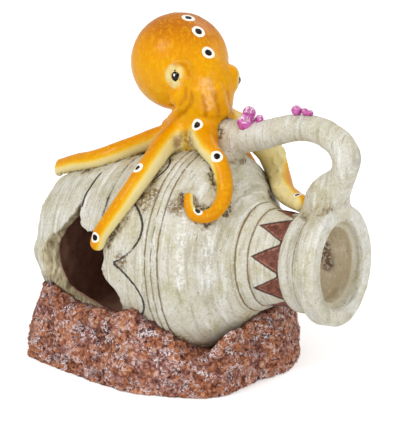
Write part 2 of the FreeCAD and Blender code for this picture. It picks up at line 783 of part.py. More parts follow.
def make_all():
    """Every sub-part, by the name of its node."""
    envelope = make_envelope()
    bar = make_handle_bar()
    core = make_octopus_core(envelope, bar)
    eyes = make_eyes()
    nodes = {
        "rock_base": make_rock(envelope),
        "amphora_body": make_amphora_body(),
        "amphora_neck": make_amphora_neck(),
        "amphora_handle": make_handle(bar, envelope),
        "octopus_body": make_octopus_body(core, eyes),
        **eyes,
    }
    for name in ARM_SHARES:
        nodes[name] = make_arm(name, [envelope, core, bar])
    for name in CORAL_SHARES:
        nodes[name] = make_coral(name, bar)
    return nodes


def check(nodes):
    """Stops where an object has failed or a sub-part isn't sound."""
    for item in doc.Objects:
        if "Invalid" in item.State or "Error" in item.State:
            raise RuntimeError(f"{item.Name} failed: {item.State}")
    for name, item in nodes.items():
        shape = item.Shape
        if shape.isNull() or not shape.isValid() or not shape.Solids:
            raise RuntimeError(f"{name} is not a sound solid")


def write(nodes):
    os.makedirs("parts", exist_ok=True)
    for name, item in nodes.items():
        item.Label = name
        item.Shape.exportStep(f"parts/{name}.step")
        box = item.Shape.BoundBox
        print(f"{name}: {len(item.Shape.Solids)} solids, {item.Shape.Volume / 1000:.2f} ml,"
              f" {box.XLength:.1f} x {box.YLength:.1f} x {box.ZLength:.1f}")


nodes = make_all()
doc.recompute()
check(nodes)
write(nodes)
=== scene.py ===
"""Looks of the octopus figurine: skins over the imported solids, their paint, the floor, lights and camera.

Forms are worked out in millimetres in the row frame, and each mesh is written in metres. A form is a distance
field, negative inside, which is sampled near its surface and meshed.
"""
import math

import bpy
import numpy as np
from mathutils import Matrix, Vector
from mathutils.kdtree import KDTree


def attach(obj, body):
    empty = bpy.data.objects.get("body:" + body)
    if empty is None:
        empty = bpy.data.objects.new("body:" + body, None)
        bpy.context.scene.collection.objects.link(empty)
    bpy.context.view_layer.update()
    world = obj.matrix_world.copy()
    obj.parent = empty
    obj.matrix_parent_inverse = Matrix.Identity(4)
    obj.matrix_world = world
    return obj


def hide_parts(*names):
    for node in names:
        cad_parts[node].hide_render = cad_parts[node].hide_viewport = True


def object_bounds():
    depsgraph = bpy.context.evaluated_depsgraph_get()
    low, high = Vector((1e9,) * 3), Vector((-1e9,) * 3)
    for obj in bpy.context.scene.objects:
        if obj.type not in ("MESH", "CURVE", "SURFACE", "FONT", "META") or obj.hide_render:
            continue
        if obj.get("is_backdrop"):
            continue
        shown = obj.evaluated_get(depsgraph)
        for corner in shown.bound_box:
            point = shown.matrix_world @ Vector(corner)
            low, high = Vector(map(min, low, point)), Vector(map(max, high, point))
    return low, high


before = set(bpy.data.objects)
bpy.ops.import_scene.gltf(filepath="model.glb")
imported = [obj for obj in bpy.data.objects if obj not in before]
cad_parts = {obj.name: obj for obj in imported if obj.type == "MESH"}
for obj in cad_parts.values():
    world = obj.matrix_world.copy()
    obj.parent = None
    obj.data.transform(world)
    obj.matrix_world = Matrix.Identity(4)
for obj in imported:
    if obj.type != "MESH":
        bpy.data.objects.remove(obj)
cad_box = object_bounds()

MM = 0.001
COARSE = 1.0
# A distance in mm that counts as far away
FAR = 30.0
# The directions of X, Y and Z, and the corners of a cell of the grid
AXES = np.eye(3, dtype=int)
CORNERS = np.indices((2, 2, 2)).reshape(3, -1).T

# Camera, as fitted to the photograph: mm, pixels and directions
AZIMUTH = math.radians(32.0)
ELEVATION = math.radians(19.0)
DISTANCE = 950.0
TARGET = np.array([3.7, 0.0, 64.15])
FOCAL_PIXELS = 2251.5
SENSOR = 36.0
WIDTH = 403
HEIGHT = 433
SEEN_BACK = np.array([math.sin(AZIMUTH) * math.cos(ELEVATION), -math.cos(AZIMUTH) * math.cos(ELEVATION),
                      math.sin(ELEVATION)])
SEEN_RIGHT = np.array([math.cos(AZIMUTH), math.sin(AZIMUTH), 0.0])
SEEN_UP = np.cross(SEEN_BACK, SEEN_RIGHT)
EYE = TARGET + SEEN_BACK * DISTANCE
# How far in front of TARGET a ray from the camera starts its search, and in how many steps it closes in
RAY_START = 120.0
RAY_STEPS = 70

# Studio: metres, and shares of full light
OBJECT_MIDDLE = Vector((0, 0, 0.07))
FLOOR_REACH = 6.0
FLOOR_DROP = -0.0002
FLOOR_GLOW = 0.35
WORLD_LIGHT = 0.56

# Amphora: the middle of its belly, its tilt, and its outside along and about its own axis
BELLY = np.array([-2.0, 0.0, 49.0])
TILT = math.radians(4.85)
AXIS = np.array([math.cos(TILT), 0.0, math.sin(TILT)])
UP = np.array([-math.sin(TILT), 0.0, math.cos(TILT)])
FRONT = np.array([0.0, -1.0, 0.0])
BELLY_RADIUS = 44.8
SHOULDER_ALONG = 34.8
COLLAR_ALONG = 55.0
RIM_END = 74.3
# Rows are along, radius and the radius of the arc to the next row, or 0 for a straight line
BELLY_ROWS = [
    (-66.5, 0, 0), (-66.5, 22, 3.5), (-64.5, 25.6, 8.96), (-59.85, 30, 367), (8, 44.8, 20.9),
    (27.03, 33.6, 0), (34.8, 24, 0),
]
NECK_ROWS = [
    (34.8, 24, 0), (42, 20.4, 0), (55, 19.5, 0), (55, 20.4, 4.65), (61.2, 20.4, 0), (61.2, 20.9, 0),
    (64.2, 22.2, 0), (66, 22.2, 0), (66, 24.1, 1.2), (67.2, 25.3, 0), (73.1, 25.3, 1.2), (74.3, 24.1, 0),
]
HOLLOW_ROWS = [
    (-52, 0, 0), (-52, 17.9, 10.75), (-47, 27.8, 367), (8, 39.8, 20.9), (22, 31.1, 0), (22, 0, 0),
]
MOUTH_ROWS = [
    (56.3, 0, 0), (56.3, 3.8, 24.8), (70.1, 15.8, 0), (70.1, 17.8, 0), (72.3, 17.8, 0), (74.3, 19.1, 0),
    (80, 21, 0), (80, 0, 0),
]

# The broken opening, seen from the front: along and up in the amphora's own frame, at the surface and at
# BREAK_DEPTH from the axis
BREAK_DEPTH = 24.0
BREAK_OUTER = [
    (-70, 17), (-59, 19), (-50.5, 21.5), (-47.5, 17.2), (-45, 16.2), (-42, 17.5), (-38.2, 20.5),
    (-36.2, 24.2), (-35.2, 27.5), (-34.2, 24), (-33.2, 20), (-30.5, 15.8), (-27, 14.3), (-24.2, 15.2),
    (-21.5, 16.5), (-16.5, 11), (-16.2, 6), (-17.8, 1), (-16.2, -3), (-12, -6), (-9.6, -10), (-9.5, -15),
    (-12, -22), (-22, -27), (-34, -29), (-50, -27), (-66, -23), (-76, -14), (-86, -3), (-82, 9),
]
BREAK_INNER = [
    (-44, 12), (-41, 15), (-39, 17), (-38, 19), (-37, 20), (-36.5, 21), (-36, 23), (-35.5, 24.5),
    (-35, 25.5), (-34.6, 24), (-33.6, 20), (-31, 17), (-27.6, 15.6), (-24.8, 16), (-22, 16), (-17, 11),
    (-16.7, 6), (-18.5, 1), (-17, -3), (-13.5, -6), (-11.5, -10), (-11.5, -14), (-14, -21), (-22, -25),
    (-30, -26), (-37, -24), (-43, -20), (-46, -12), (-48, -4), (-47, 5),
]

# Handle: root, foot, rise, radius and how far off it counts, in mm, and rows of shares: along, rise, half
# width in its plane, half depth
HANDLE_ROOT = (13.0, -12.0, 5.0)
HANDLE_FOOT = (67.0, -8.0, 0.0)
HANDLE_RISE = 29.5
HANDLE_RADIUS = 5.8
HANDLE_REACH = 18.0
HANDLE_SHARES = [
    (-0.05, 0, 1.3, 1.15), (0.13, 0.1, 1.22, 1.12), (0.27, 0.24, 1.12, 1.05), (0.42, 0.42, 1.03, 1),
    (0.55, 0.6, 0.98, 0.97), (0.66, 0.745, 0.95, 0.95), (0.76, 0.855, 0.94, 0.94), (0.87, 0.93, 0.95, 0.95),
    (0.98, 0.965, 0.97, 0.97), (1.075, 0.9, 1, 1), (1.13, 0.79, 1.02, 1), (1.155, 0.66, 1.03, 1),
    (1.153, 0.52, 1.05, 1.02), (1.125, 0.375, 1.15, 1.05), (1.08, 0.24, 1.4, 1.15), (1.03, 0.11, 1.7, 1.3),
    (1, 0, 1.85, 1.45), (0.99, -0.08, 1.85, 1.45),
]

# Octopus: its crown's place on the amphora, and the rest above that
CROWN = (3.2, -14.6, 3.0)
HEAD = np.array([1.2, -1.8, 22.3])
MANTLE = np.array([-14.3, 3.8, 30.5])
MANTLE_RADIUS = 20.7
HEAD_RADII = (12.5, 12.6, 16.0)
NECK_HALVES = np.array([12.6, 10.4])
FACING = math.radians(-38.0)
HEAD_ROLL = math.radians(-9.5)
ARM_RADIUS = 5.0
# Each arm: its route as in the solid model, its half width at root and tip as shares of ARM_RADIUS, and how
# far its orange ridge is turned from straight out, in degrees
ARMS = {
    "left": ([
        (0.02, -14, 1.4), (-0.14, -13, 1.4), (-0.32, -10, 1.2), (-0.5, -3, 0.85), (-0.68, 6, 0.7),
        (-0.9, 11, 0.65), (-1.16, 9, 0.65), (-1.39, 5, 0.65),
    ], (0.98, 0.76), 25),
    "front_left": ([
        (0.03, -11, 1.4), (-0.08, -2, 1.1), (-0.09, 9, 0.9), (-0.07, 20, 0.75), (-0.08, 33, 0.7),
        (-0.125, 43, 0.7), (-0.2, 52, 0.7), (-0.285, 60, 0.7), (-0.37, 67, 0.7), (-0.41, 73, 0.7),
    ], (1.08, 0.62), 55),
    "front_curl": ([
        (0.13, -10, 1.4), (0.2, -3, 1.2), (0.28, 2.5, 1), (0.38, 7, 0.8), (0.49, 10, 0.7), (0.58, 16, 0.65),
        (0.63, 24, 0.6), (0.65, 33, 0.6), (0.63, 43, 0.6), (0.58, 49, 0.6), (0.52, 50, 0.6),
        (0.47, 46, 0.6), (0.44, 41, 0.6),
    ], (0.98, 0.36), -50),
    "right": ([
        (0.1, -18, 1.05), (0.24, -24, 1.25), (0.38, -33, 1.5), (0.49, -41, 1.6), (0.55, -46, 1.5),
        (0.66, -47, 1.55), (0.83, -39, 1.55), (1.01, -28, 1.3), (1.19, -12, 1.15),
    ], (1.45, 0.72), -70),
    "rear_right": ([
        (0.13, -20, 1.4), (0.16, -35, 1), (0.18, -49, 0.7), (0.22, -63, 0.6), (0.25, -78, 0.6),
        (0.21, -92, 0.6), (0.08, -101, 0.6), (-0.04, -98, 0.6),
    ], (0.8, 0.34), 30),
    "rear": ([
        (0.03, -21, 1.4), (-0.04, -36, 1), (-0.06, -50, 0.7), (-0.08, -64, 0.6), (-0.09, -78, 0.6),
        (-0.17, -90, 0.6), (-0.31, -97, 0.6), (-0.42, -95, 0.6),
    ], (0.8, 0.34), -20),
    "rear_left": ([
        (0.01, -19, 1.4), (-0.2, -31, 1), (-0.38, -43, 0.8), (-0.53, -55, 0.6), (-0.61, -68, 0.6),
        (-0.66, -81, 0.6), (-0.78, -91, 0.6), (-0.92, -91, 0.6),
    ], (0.8, 0.34), -30),
    "back_left": ([
        (0, -17, 1.4), (-0.3, -23, 1.1), (-0.58, -27, 0.8), (-0.86, -30, 0.65), (-1.06, -38, 0.6),
        (-1.15, -50, 0.6), (-1.12, -64, 0.6),
    ], (0.8, 0.38), 20),
}
# Painted ring dots by pixel of the photograph, with the ring's and the black middle's radius in mm
DOT_PIXELS = [
    (188.4, 17.6, 2.9, 1.5), (198.6, 31.3, 2.9, 1.6), (208.5, 52.5, 2.9, 1.6), (197, 125, 2.6, 1.4),
    (137.4, 167.6, 2.5, 1.2), (94.6, 237.5, 2.2, 1.3), (217, 156.3, 2.6, 1.4), (197.8, 211, 2.1, 1.3),
    (297.4, 194.4, 2, 1.2), (59.8, 153.4, 1.3, -1),
]
# Ring dots on the sides that the photograph doesn't show: arm, place along it from root to tip
DOT_ARMS = [
    ("rear_right", 0.35), ("rear_right", 0.9), ("rear", 0.6), ("rear_left", 0.35), ("rear_left", 0.92),
    ("back_left", 0.6), ("left", 0.45),
]
# and on the mantle: degrees round it from +X and degrees up
DOT_MANTLE = [(75, 55), (110, 28), (150, 50), (165, 8), (188, 36), (60, 12), (120, -14)]

# Coral lobes: along the handle, height over the bar, towards the front, and radius, as in the solid model
LOBE_RADIUS = 4.0
CORAL = {
    "coral_near_crown": [(0.30, 0.0, 0.5, 1.0), (0.33, 1.2, 0.3, 0.76), (0.41, 0.4, 0.4, 0.52)],
    "coral_on_handle": [(0.725, 0.7, 0.0, 0.6), (0.785, 0.7, 0.1, 0.44), (0.825, 0.7, 0.1, 0.38)],
}

# Rock: its outline on the ground, its growth with height, and its top edge seen from the front, as shares
ROCK_LEFT = 68.0
ROCK_RIGHT = 41.0
ROCK_HALF_WIDTH = 47.0
ROCK_HEIGHT = 33.0
ROCK_SHARES = [
    (-0.96, -0.7), (-0.86, -0.85), (-0.62, -0.93), (-0.32, -1.01), (-0.06, -1.05), (0.2, -0.99),
    (0.54, -0.88), (0.82, -0.7), (0.89, -0.46), (0.93, -0.23), (1.06, 0.1), (1, 0.41), (0.87, 0.63),
    (0.68, 0.81), (0.24, 0.94), (-0.12, 0.98), (-0.41, 0.96), (-0.68, 0.89), (-0.88, 0.72), (-0.99, 0.38),
    (-1.03, 0), (-1.01, -0.38),
]
ROCK_STEP_SHARES = [(0.0, 1.0), (0.25, 1.0), (0.6, 0.96), (1.12, 0.865)]
ROCK_TOP_SHARES = [
    (-1.12, 0.9), (-0.93, 1), (-0.72, 1.01), (-0.57, 0.89), (-0.37, 0.89), (-0.17, 0.98), (-0.04, 1.07),
    (0.1, 0.99), (0.28, 0.87), (0.42, 0.62), (0.54, 0.5), (0.65, 0.58), (0.8, 0.82), (0.98, 0.94),
    (1.15, 0.86),
]


# Numbers

def lattice(cells, seed):
    """A repeatable value from 0 to 1 for each whole-number point."""
    mixed = (cells @ (374761393, 668265263, 1274126177) + seed * 974634777) & 0xFFFFFFFF
    mixed = ((mixed ^ (mixed >> 13)) * 1103515245) & 0xFFFFFFFF
    mixed = ((mixed ^ (mixed >> 15)) * 2246822519) & 0xFFFFFFFF
    return (mixed ^ (mixed >> 16)) / 0xFFFFFFFF


def noise(points, scale, seed=0):
    """Smooth noise from -1 to 1 whose lumps are about scale across."""
    places = points / scale
    cells = np.floor(places).astype(np.int64)
    part = places - cells
    part = part * part * (3 - 2 * part)
    total = np.zeros(len(points))
    for corner in CORNERS:
        weight = np.prod(np.where(corner, part, 1 - part), axis=1)
        total += weight * lattice(cells + corner, seed)
    return 2 * total - 1


def smooth_min(one, other, width):
    blend = np.maximum(width - np.abs(one - other), 0) / width
    return np.minimum(one, other) - blend * blend * width / 4


def smooth_max(one, other, width):
    return -smooth_min(-one, -other, width)


def smoothstep(low, high, value):
    share = np.clip((value - low) / (high - low), 0, 1)
    return share * share * (3 - 2 * share)


def unit(vectors):
    """Each row of an array at length 1."""
    return vectors / (np.linalg.norm(vectors, axis=1)[:, None] + 1e-9)


def away(points, place):
    """How far points are from a place."""
    return np.linalg.norm(points - place, axis=1)


def where_near(points, places, reach, field, far=FAR):
    """A field worked out only within reach of the box round some places, and far elsewhere."""
    result = np.full(len(points), far)
    low, high = np.min(places, axis=0) - reach, np.max(places, axis=0) + reach
    near = np.all((points > low) & (points < high), axis=1)
    result[near] = field(points[near])
    return result


def through(points, count, closed=False):
    """A smooth curve through points, sampled count times between each two."""
    points = np.asarray(points, float)
    if closed:
        padded = np.vstack([points[-1:], points, points[:2]])
    else:
        padded = np.vstack([2 * points[0] - points[1], points, 2 * points[-1] - points[-2]])
    pieces = []
    for a, b, c, d in zip(padded, padded[1:], padded[2:], padded[3:]):
        for t in np.arange(count) / count:
            pieces.append(0.5 * (2 * b + (c - a) * t + (2 * a - 5 * b + 4 * c - d) * t**2
                                 + (3 * b - a - 3 * c + d) * t**3))
    if not closed:
        pieces.append(points[-1])
    return np.array(pieces)


# Outlines in two dimensions, kept as tables of signed distance

def bowed(rows, count=14):
    """The corners of an outline whose rows carry the radius of the arc to the next row, bowed outwards."""
    points = []
    for (x, y, radius), (next_x, next_y, _) in zip(rows, rows[1:]):
        start, end = np.array([x, y]), np.array([next_x, next_y])
        if not radius:
            points.append(start)
            continue
        chord = end - start
        half = np.linalg.norm(chord) / 2
        left = np.array([-chord[1], chord[0]]) / (2 * half)
        centre = (start + end) / 2 - left * math.sqrt(radius**2 - half**2)
        spoke_x, spoke_y = start - centre
        for turn in np.linspace(0, 2 * math.asin(half / radius), count, endpoint=False):
            c, s = math.cos(turn), math.sin(turn)
            points.append(centre + (spoke_x * c + spoke_y * s, spoke_y * c - spoke_x * s))
    points.append(np.array(rows[-1][:2]))
    return np.array(points, float)


def polygon_distance(points, corners):
    """Signed distance to a closed polygon, negative inside."""
    nearest = np.full(len(points), np.inf)
    inside = np.zeros(len(points), bool)
    for start, end in zip(corners, np.roll(corners, -1, axis=0)):
        edge = end - start
        if not edge.any():
            continue
        share = np.clip((points - start) @ edge / (edge @ edge), 0, 1)
        nearest = np.minimum(nearest, ((points - start - share[:, None] * edge) ** 2).sum(axis=1))
        spans = (start[1] > points[:, 1]) != (end[1] > points[:, 1])
        if edge[1]:
            crossing = start[0] + (points[:, 1] - start[1]) * edge[0] / edge[1]
            inside ^= spans & (points[:, 0] < crossing)
    return np.where(inside, -1, 1) * np.sqrt(nearest)


class Table:
    """Signed distance to a polygon, looked up between the points of a grid."""

    def __init__(self, corners, low, high, step):
        self.low = np.array(low, float)
        self.step = step
        grid = np.mgrid[low[0]:high[0] + step:step, low[1]:high[1] + step:step]
        distances = polygon_distance(grid.reshape(2, -1).T, np.asarray(corners, float))
        self.values = distances.reshape(grid.shape[1:])

    def __call__(self, x, y):
        u = np.clip((x - self.low[0]) / self.step, 0, self.values.shape[0] - 1.001)
        v = np.clip((y - self.low[1]) / self.step, 0, self.values.shape[1] - 1.001)
        i, j = u.astype(int), v.astype(int)
        u, v = u - i, v - j
        t = self.values
        near = t[i, j] * (1 - u) + t[i + 1, j] * u
        far = t[i, j + 1] * (1 - u) + t[i + 1, j + 1] * u
        return near * (1 - v) + far * v


def turned_table(rows):
    """The table of a turned form's section, with its mirror image below the axis."""
    points = bowed(rows)
    mirrored = points[::-1] * np.array([1, -1])
    return Table(np.vstack([points, mirrored]), (-78, -2), (92, 56), 0.25)


BELLY_TABLE = turned_table([*BELLY_ROWS, (SHOULDER_ALONG, 0, 0)])
NECK_TABLE = turned_table([(33.2, 0, 0), (33.2, 23.6, 0), *NECK_ROWS, (RIM_END, 0, 0)])
HOLLOW_TABLE = turned_table(HOLLOW_ROWS)
MOUTH_TABLE = turned_table(MOUTH_ROWS)
WHOLE_TABLE = turned_table([*BELLY_ROWS[:-1], *NECK_ROWS, (RIM_END, 0, 0)])
OUTER_TABLE = Table(BREAK_OUTER, (-90, -50), (40, 50), 0.5)
INNER_TABLE = Table(BREAK_INNER, (-90, -50), (40, 50), 0.5)
OUTSIDE = bowed([*BELLY_ROWS[1:-1], *NECK_ROWS])


def to_amphora(points):
    """Along the axis, towards the front, up, out from the axis, and degrees from the top to the front."""
    moved = points - BELLY
    along = moved @ AXIS
    front = moved @ FRONT
    up = moved @ UP
    return along, front, up, np.hypot(front, up), np.degrees(np.arctan2(front, up))


def on_amphora(along, angle, lift=0.0):
    """A point over the plain amphora and its outward direction."""
    radius = np.interp(along, OUTSIDE[:, 0], OUTSIDE[:, 1])
    turned = math.radians(angle)
    out = UP * math.cos(turned) + FRONT * math.sin(turned)
    return BELLY + AXIS * along + out * (radius + lift), out


def plain_amphora(points):
    along, _, _, radius, _ = to_amphora(points)
    return WHOLE_TABLE(along, radius)


# Chains of round or oval sections

def chain(points, middles, halves, reach=9.0):
    """Distance to a rounded chain. Points further than reach from its box count as far away."""
    def field(near):
        best = np.full(len(near), FAR)
        for start, end, first, last in zip(middles, middles[1:], halves, halves[1:]):
            way = end - start
            share = np.clip((near - start) @ way / (way @ way), 0, 1)
            gap = away(near, start + share[:, None] * way)
            best = np.minimum(best, gap - (first + (last - first) * share))
        return best

    return where_near(points, middles, max(halves) + reach, field)


def ellipsoid(points, centre, radii, turn):
    """A field close to the distance from an ellipsoid that a matrix turns."""
    scaled = (points - centre) @ turn / radii
    length = np.linalg.norm(scaled, axis=1)
    return length * (length - 1) / (np.linalg.norm(scaled / radii, axis=1) + 1e-9)


# Handle

def handle_line():
    """The handle's sections: middles, directions out and across, half widths and depths, and shares along."""
    root, _ = on_amphora(*HANDLE_ROOT)
    foot, _ = on_amphora(*HANDLE_FOOT)
    rows = through(HANDLE_SHARES, 5)
    way = foot - root
    across = np.cross(way, [0, 0, 1])
    across /= np.linalg.norm(across)
    middles = root + way * rows[:, :1]
    middles[:, 2] = root[2] + way[2] * np.clip(rows[:, 0], 0, 1) + rows[:, 1] * HANDLE_RISE
    ahead = np.gradient(middles, axis=0)
    out = np.cross(across, ahead)
    out /= np.linalg.norm(out, axis=1)[:, None]
    return middles, out, across, rows[:, 2] * HANDLE_RADIUS, rows[:, 3] * HANDLE_RADIUS, rows[:, 0]


HANDLE = handle_line()


def handle_bar(points):
    """Distance to the handle's plain bar of oval sections."""
    middles, _, across, wide, deep, _ = HANDLE

    def field(near):
        best = np.full(len(near), FAR)
        for index in range(len(middles) - 1):
            moved = near - middles[index]
            way = middles[index + 1] - middles[index]
            length = np.linalg.norm(way)
            along = moved @ way / length
            share = np.clip(along / length, 0, 1)
            w = wide[index] + (wide[index + 1] - wide[index]) * share
            d = deep[index] + (deep[index + 1] - deep[index]) * share
            rise = moved @ np.cross(across, way / length)
            ratio = np.sqrt((rise / w) ** 2 + (moved @ across / d) ** 2 + ((along - share * length) / w) ** 2)
            best = np.minimum(best, (ratio - 1) * np.minimum(w, d))
        return best

    return where_near(points, middles, HANDLE_REACH, field)


def on_handle(share):
    """The handle's middle, out direction, across direction and half width at a share of the way along."""
    middles, outs, across, wide, _, shares = HANDLE
    index = int(np.argmax(shares > share))
    part = (share - shares[index - 1]) / (shares[index] - shares[index - 1])
    middle = middles[index - 1] + (middles[index] - middles[index - 1]) * part
    return middle, outs[index], across, wide[index]


# Octopus

CROWN_PLACE, CROWN_OUT = on_amphora(*CROWN)
HEAD_PLACE = CROWN_PLACE + HEAD
MANTLE_PLACE = CROWN_PLACE + MANTLE
FACE_TURN = np.array(Matrix.Rotation(FACING, 3, "Z"))
HEAD_TURN = FACE_TURN @ np.array(Matrix.Rotation(HEAD_ROLL, 3, "X"))
# How far out each eye bead is: the far one is sunk a little deeper
EYE_REACH = {-1: 13.4, 1: 12.2}


def eye_place(side, reach, fore=2.8, rise=5.3):
    return HEAD_PLACE + HEAD_TURN @ np.array([fore, side * reach, rise])


def arm_line(name):
    """An arm's middles, half widths, and at each its directions towards its orange ridge and out."""
    route, (root, tip), turned = ARMS[name]
    places = []
    for (along, angle, lift), step in zip(route, np.linspace(0, 1, len(route))):
        half = ARM_RADIUS * (root + (tip - root) * step)
        places.append(on_amphora(along * BELLY_RADIUS, angle, lift * half)[0])
    middles = through(places, 5)
    steps = np.linspace(0, 1, len(middles))
    halves = ARM_RADIUS * (root + (tip - root) * steps + 0.16 * np.clip(1 - steps * 4, 0, 1))
    _, front, up, _, _ = to_amphora(middles)
    ahead = unit(np.gradient(middles, axis=0))
    across = unit(np.cross(ahead, unit(up[:, None] * UP + front[:, None] * FRONT)))
    outs = np.cross(across, ahead)
    angle = math.radians(turned)
    return middles, halves, outs * math.cos(angle) + across * math.sin(angle), outs


ARM_LINES = {name: arm_line(name) for name in ARMS}


def sucker_rows():
    """Small cups along the pale side of the two arms that show it."""
    cups = []
    for name, first, last, number in (("front_curl", 0.42, 0.80, 5), ("right", 0.25, 0.86, 7)):
        middles, halves, ridge, outs = ARM_LINES[name]
        for place in np.linspace(first, last, number):
            index = int(place * (len(middles) - 1))
            side = outs[index] * 0.55 - ridge[index] * 0.85
            side /= np.linalg.norm(side)
            cups.append((middles[index] + side * halves[index], side, 0.42 * halves[index]))
    return cups


SUCKERS = sucker_rows()
# Painted shade along the folds of the face and neck, by pixel of the photograph
CREASE_PIXELS = [
    [(176, 65), (181, 63.6), (186, 66), (188.4, 71), (188.6, 78)],
    [(186, 88), (186, 97), (181, 104), (172, 105.5)],
    [(192, 92), (192, 102), (184, 112), (173, 121), (160, 133)],
    [(215, 92), (217, 104), (219, 116)],
    [(203, 96), (205, 108), (206, 116)],
    [(228, 92), (229, 104), (233, 114)],
]


def octopus_form(points):
    """Mantle, head, neck and arms, without the small relief."""
    arms = np.full(len(points), FAR)
    for middles, halves, _, _ in ARM_LINES.values():
        arms = smooth_min(arms, chain(points, middles, halves), 1.2)
    body = away(points, MANTLE_PLACE) - MANTLE_RADIUS
    neck_line = np.array([CROWN_PLACE + CROWN_OUT * 2, HEAD_PLACE])
    for part, blend in (
        (ellipsoid(points, HEAD_PLACE, HEAD_RADII, FACE_TURN), 5.0),
        (chain(points, neck_line, NECK_HALVES, 20), 4.0),
        (ellipsoid(points, CROWN_PLACE, (15.2, 15.2, 8.6), FACE_TURN), 5.0),
        (arms, 5.0),
    ):
        body = smooth_min(body, part, blend)
    for side in (-1, 1):
        mound = ellipsoid(points, eye_place(side, EYE_REACH[side] - 2.5), (4.4, 4.4, 6.2), HEAD_TURN)
        body = smooth_min(body, mound, 2.0)
    return body


def seen_at(pixels, form):
    """Where the camera's rays through pixels of the photograph meet a form."""
    x, y = np.array(pixels, float).T
    rays = unit(np.outer((x - WIDTH / 2) / FOCAL_PIXELS, SEEN_RIGHT)
                + np.outer((HEIGHT / 2 - y) / FOCAL_PIXELS, SEEN_UP) - SEEN_BACK)
    way = np.full(len(rays), DISTANCE - RAY_START)
    for _ in range(RAY_STEPS):
        way += 0.9 * np.clip(form(EYE + rays * way[:, None]), -5, 20)
    return EYE + rays * way[:, None]


def ring_dots():
    """The painted ring dots: place, the ring's radius and the black middle's radius."""
    places = seen_at([row[:2] for row in DOT_PIXELS], octopus_form)
    dots = [(place, ring, core) for place, (_, _, ring, core) in zip(places, DOT_PIXELS)]
    for name, share in DOT_ARMS:
        middles, halves, ridge, _ = ARM_LINES[name]
        index = int(share * (len(middles) - 1))
        dots.append((middles[index] + ridge[index] * halves[index], 2.2, 1.2))
    for turn, rise in np.radians(DOT_MANTLE):
        out = np.array([math.cos(turn) * math.cos(rise), math.sin(turn) * math.cos(rise), math.sin(rise)])
        dots.append((MANTLE_PLACE + out * MANTLE_RADIUS, 2.9, 1.6))
    return dots


DOTS = ring_dots()
# Relief of the face by pixel: the brow over the near eye, the funnel below it with a notch under it, and the
# folds of the neck with their half widths
BROW = seen_at([(175, 63.5), (179, 61.8), (184, 62.8), (188, 67), (190.2, 72.5), (190.6, 79)], octopus_form)
FUNNEL = seen_at([(181, 92), (178.5, 98), (181, 104)], octopus_form)
NOTCH = seen_at([(171, 106.5), (178, 107.5), (184, 104.5)], octopus_form)
NECK_FOLDS = [(seen_at(pixels, octopus_form), half) for pixels, half in (
    ([(205, 82), (208, 92), (211, 104), (213, 112)], 2.2),
    ([(219, 88), (221, 100), (226, 112)], 1.9),
    ([(188, 82), (190, 92), (187, 101), (177, 112), (166, 123)], 1.7),
    ([(199, 92), (201, 102), (202, 112)], 1.2),
)]


def octopus(points):
    """The octopus with the folds of its face, suckers, eye sockets and wrinkles, cut off at the amphora."""
    body = octopus_form(points)
    body = smooth_min(body, chain(points, BROW, np.array([0.9, 1.3, 1.5, 1.5, 1.3, 0.8])), 1.6)
    body = smooth_min(body, chain(points, FUNNEL, np.array([2.2, 3.4, 2.6])), 1.8)
    body = smooth_max(body, -chain(points, NOTCH, np.array([0.9, 0.9, 0.6])), 1.2)
    for line, half in NECK_FOLDS:
        body = smooth_min(body, chain(points, line, np.full(len(line), half * 0.8)), 2.2)
    for place, out, half in SUCKERS:
        near = away(points, place) < 5
        moved = points[near] - place
        height = moved @ out
        flat = np.sqrt(np.maximum((moved**2).sum(axis=1) - height**2, 0))
        cup = np.hypot(flat - half, height + 0.1) - 0.42
        body[near] = smooth_min(body[near], cup, 0.5)
    for side in (-1, 1):
        socket = away(points, eye_place(side, EYE_REACH[side])) - 2.75
        near = socket < 5
        body[near] = smooth_max(body[near], -socket[near], 0.5)
    wrinkle = 0.10 * noise(points, 3.2, 3) + 0.05 * noise(points, 1.3, 4)
    return np.maximum(body - wrinkle, -(plain_amphora(points) + 0.5))


# Amphora

def rings(along, places, width):
    """How deep turned grooves are at a place along the axis, from 0 to 1."""
    total = np.zeros(len(along))
    for place in places:
        total = np.maximum(total, np.exp(-(((along - place) / width) ** 2)))
    return total


def opening(along, front, up, points):
    """Signed distance in mm to the ragged edge of the broken opening, negative in it."""
    share = (front - BREAK_DEPTH) / (BELLY_RADIUS - BREAK_DEPTH)
    drawn = INNER_TABLE(along, up) * (1 - share) + OUTER_TABLE(along, up) * share
    ragged = 0.55 * noise(points, 3.0, 11) + 0.3 * noise(points, 1.2, 12)
    streaked = 0.8 * noise(points * np.array([1.0, 0.25, 0.35]), 1.6, 13)
    left = smoothstep(-38, -46, along)
    return np.maximum(drawn + ragged + streaked * left, BREAK_DEPTH - front)


def belly(points):
    along, front, up, radius, angle = to_amphora(points)
    outside = BELLY_TABLE(along, radius)
    outside += 0.6 * rings(along, (6.0, 12.0), 0.75) + 0.35 * rings(along, (9.2,), 0.7)
    outside += 0.45 * rings(along, (RING_ALONG,), 0.6)
    outside += 0.15 + 0.22 * noise(points, 9.0, 21) + 0.12 * noise(points, 2.6, 22)
    outside += 0.12 * noise(np.stack([along, angle / 9, up * 0], axis=1), 1.5, 23)
    worn = smoothstep(-50, -62, along)
    outside += worn * (1.6 + 1.7 * noise(points, 8.5, 24) + 0.5 * noise(points, 2.5, 25))
    hollow = HOLLOW_TABLE(along, radius) - 0.35 * noise(points, 6.0, 26)
    broken = opening(along, front, up, points)
    return np.maximum(np.maximum(outside, -hollow), -broken)


# The painted triangles: how far apart and turned they are in degrees, where their tips are along the axis,
# and the neck's radius at their bases
TRIANGLE_PITCH = 40.0
TRIANGLE_ANGLE = 31.0
TRIANGLE_TIP = 42.2
TRIANGLE_RADIUS = 19.6
# Half of a triangle's base as a share of the pitch
TRIANGLE_HALF = 0.475
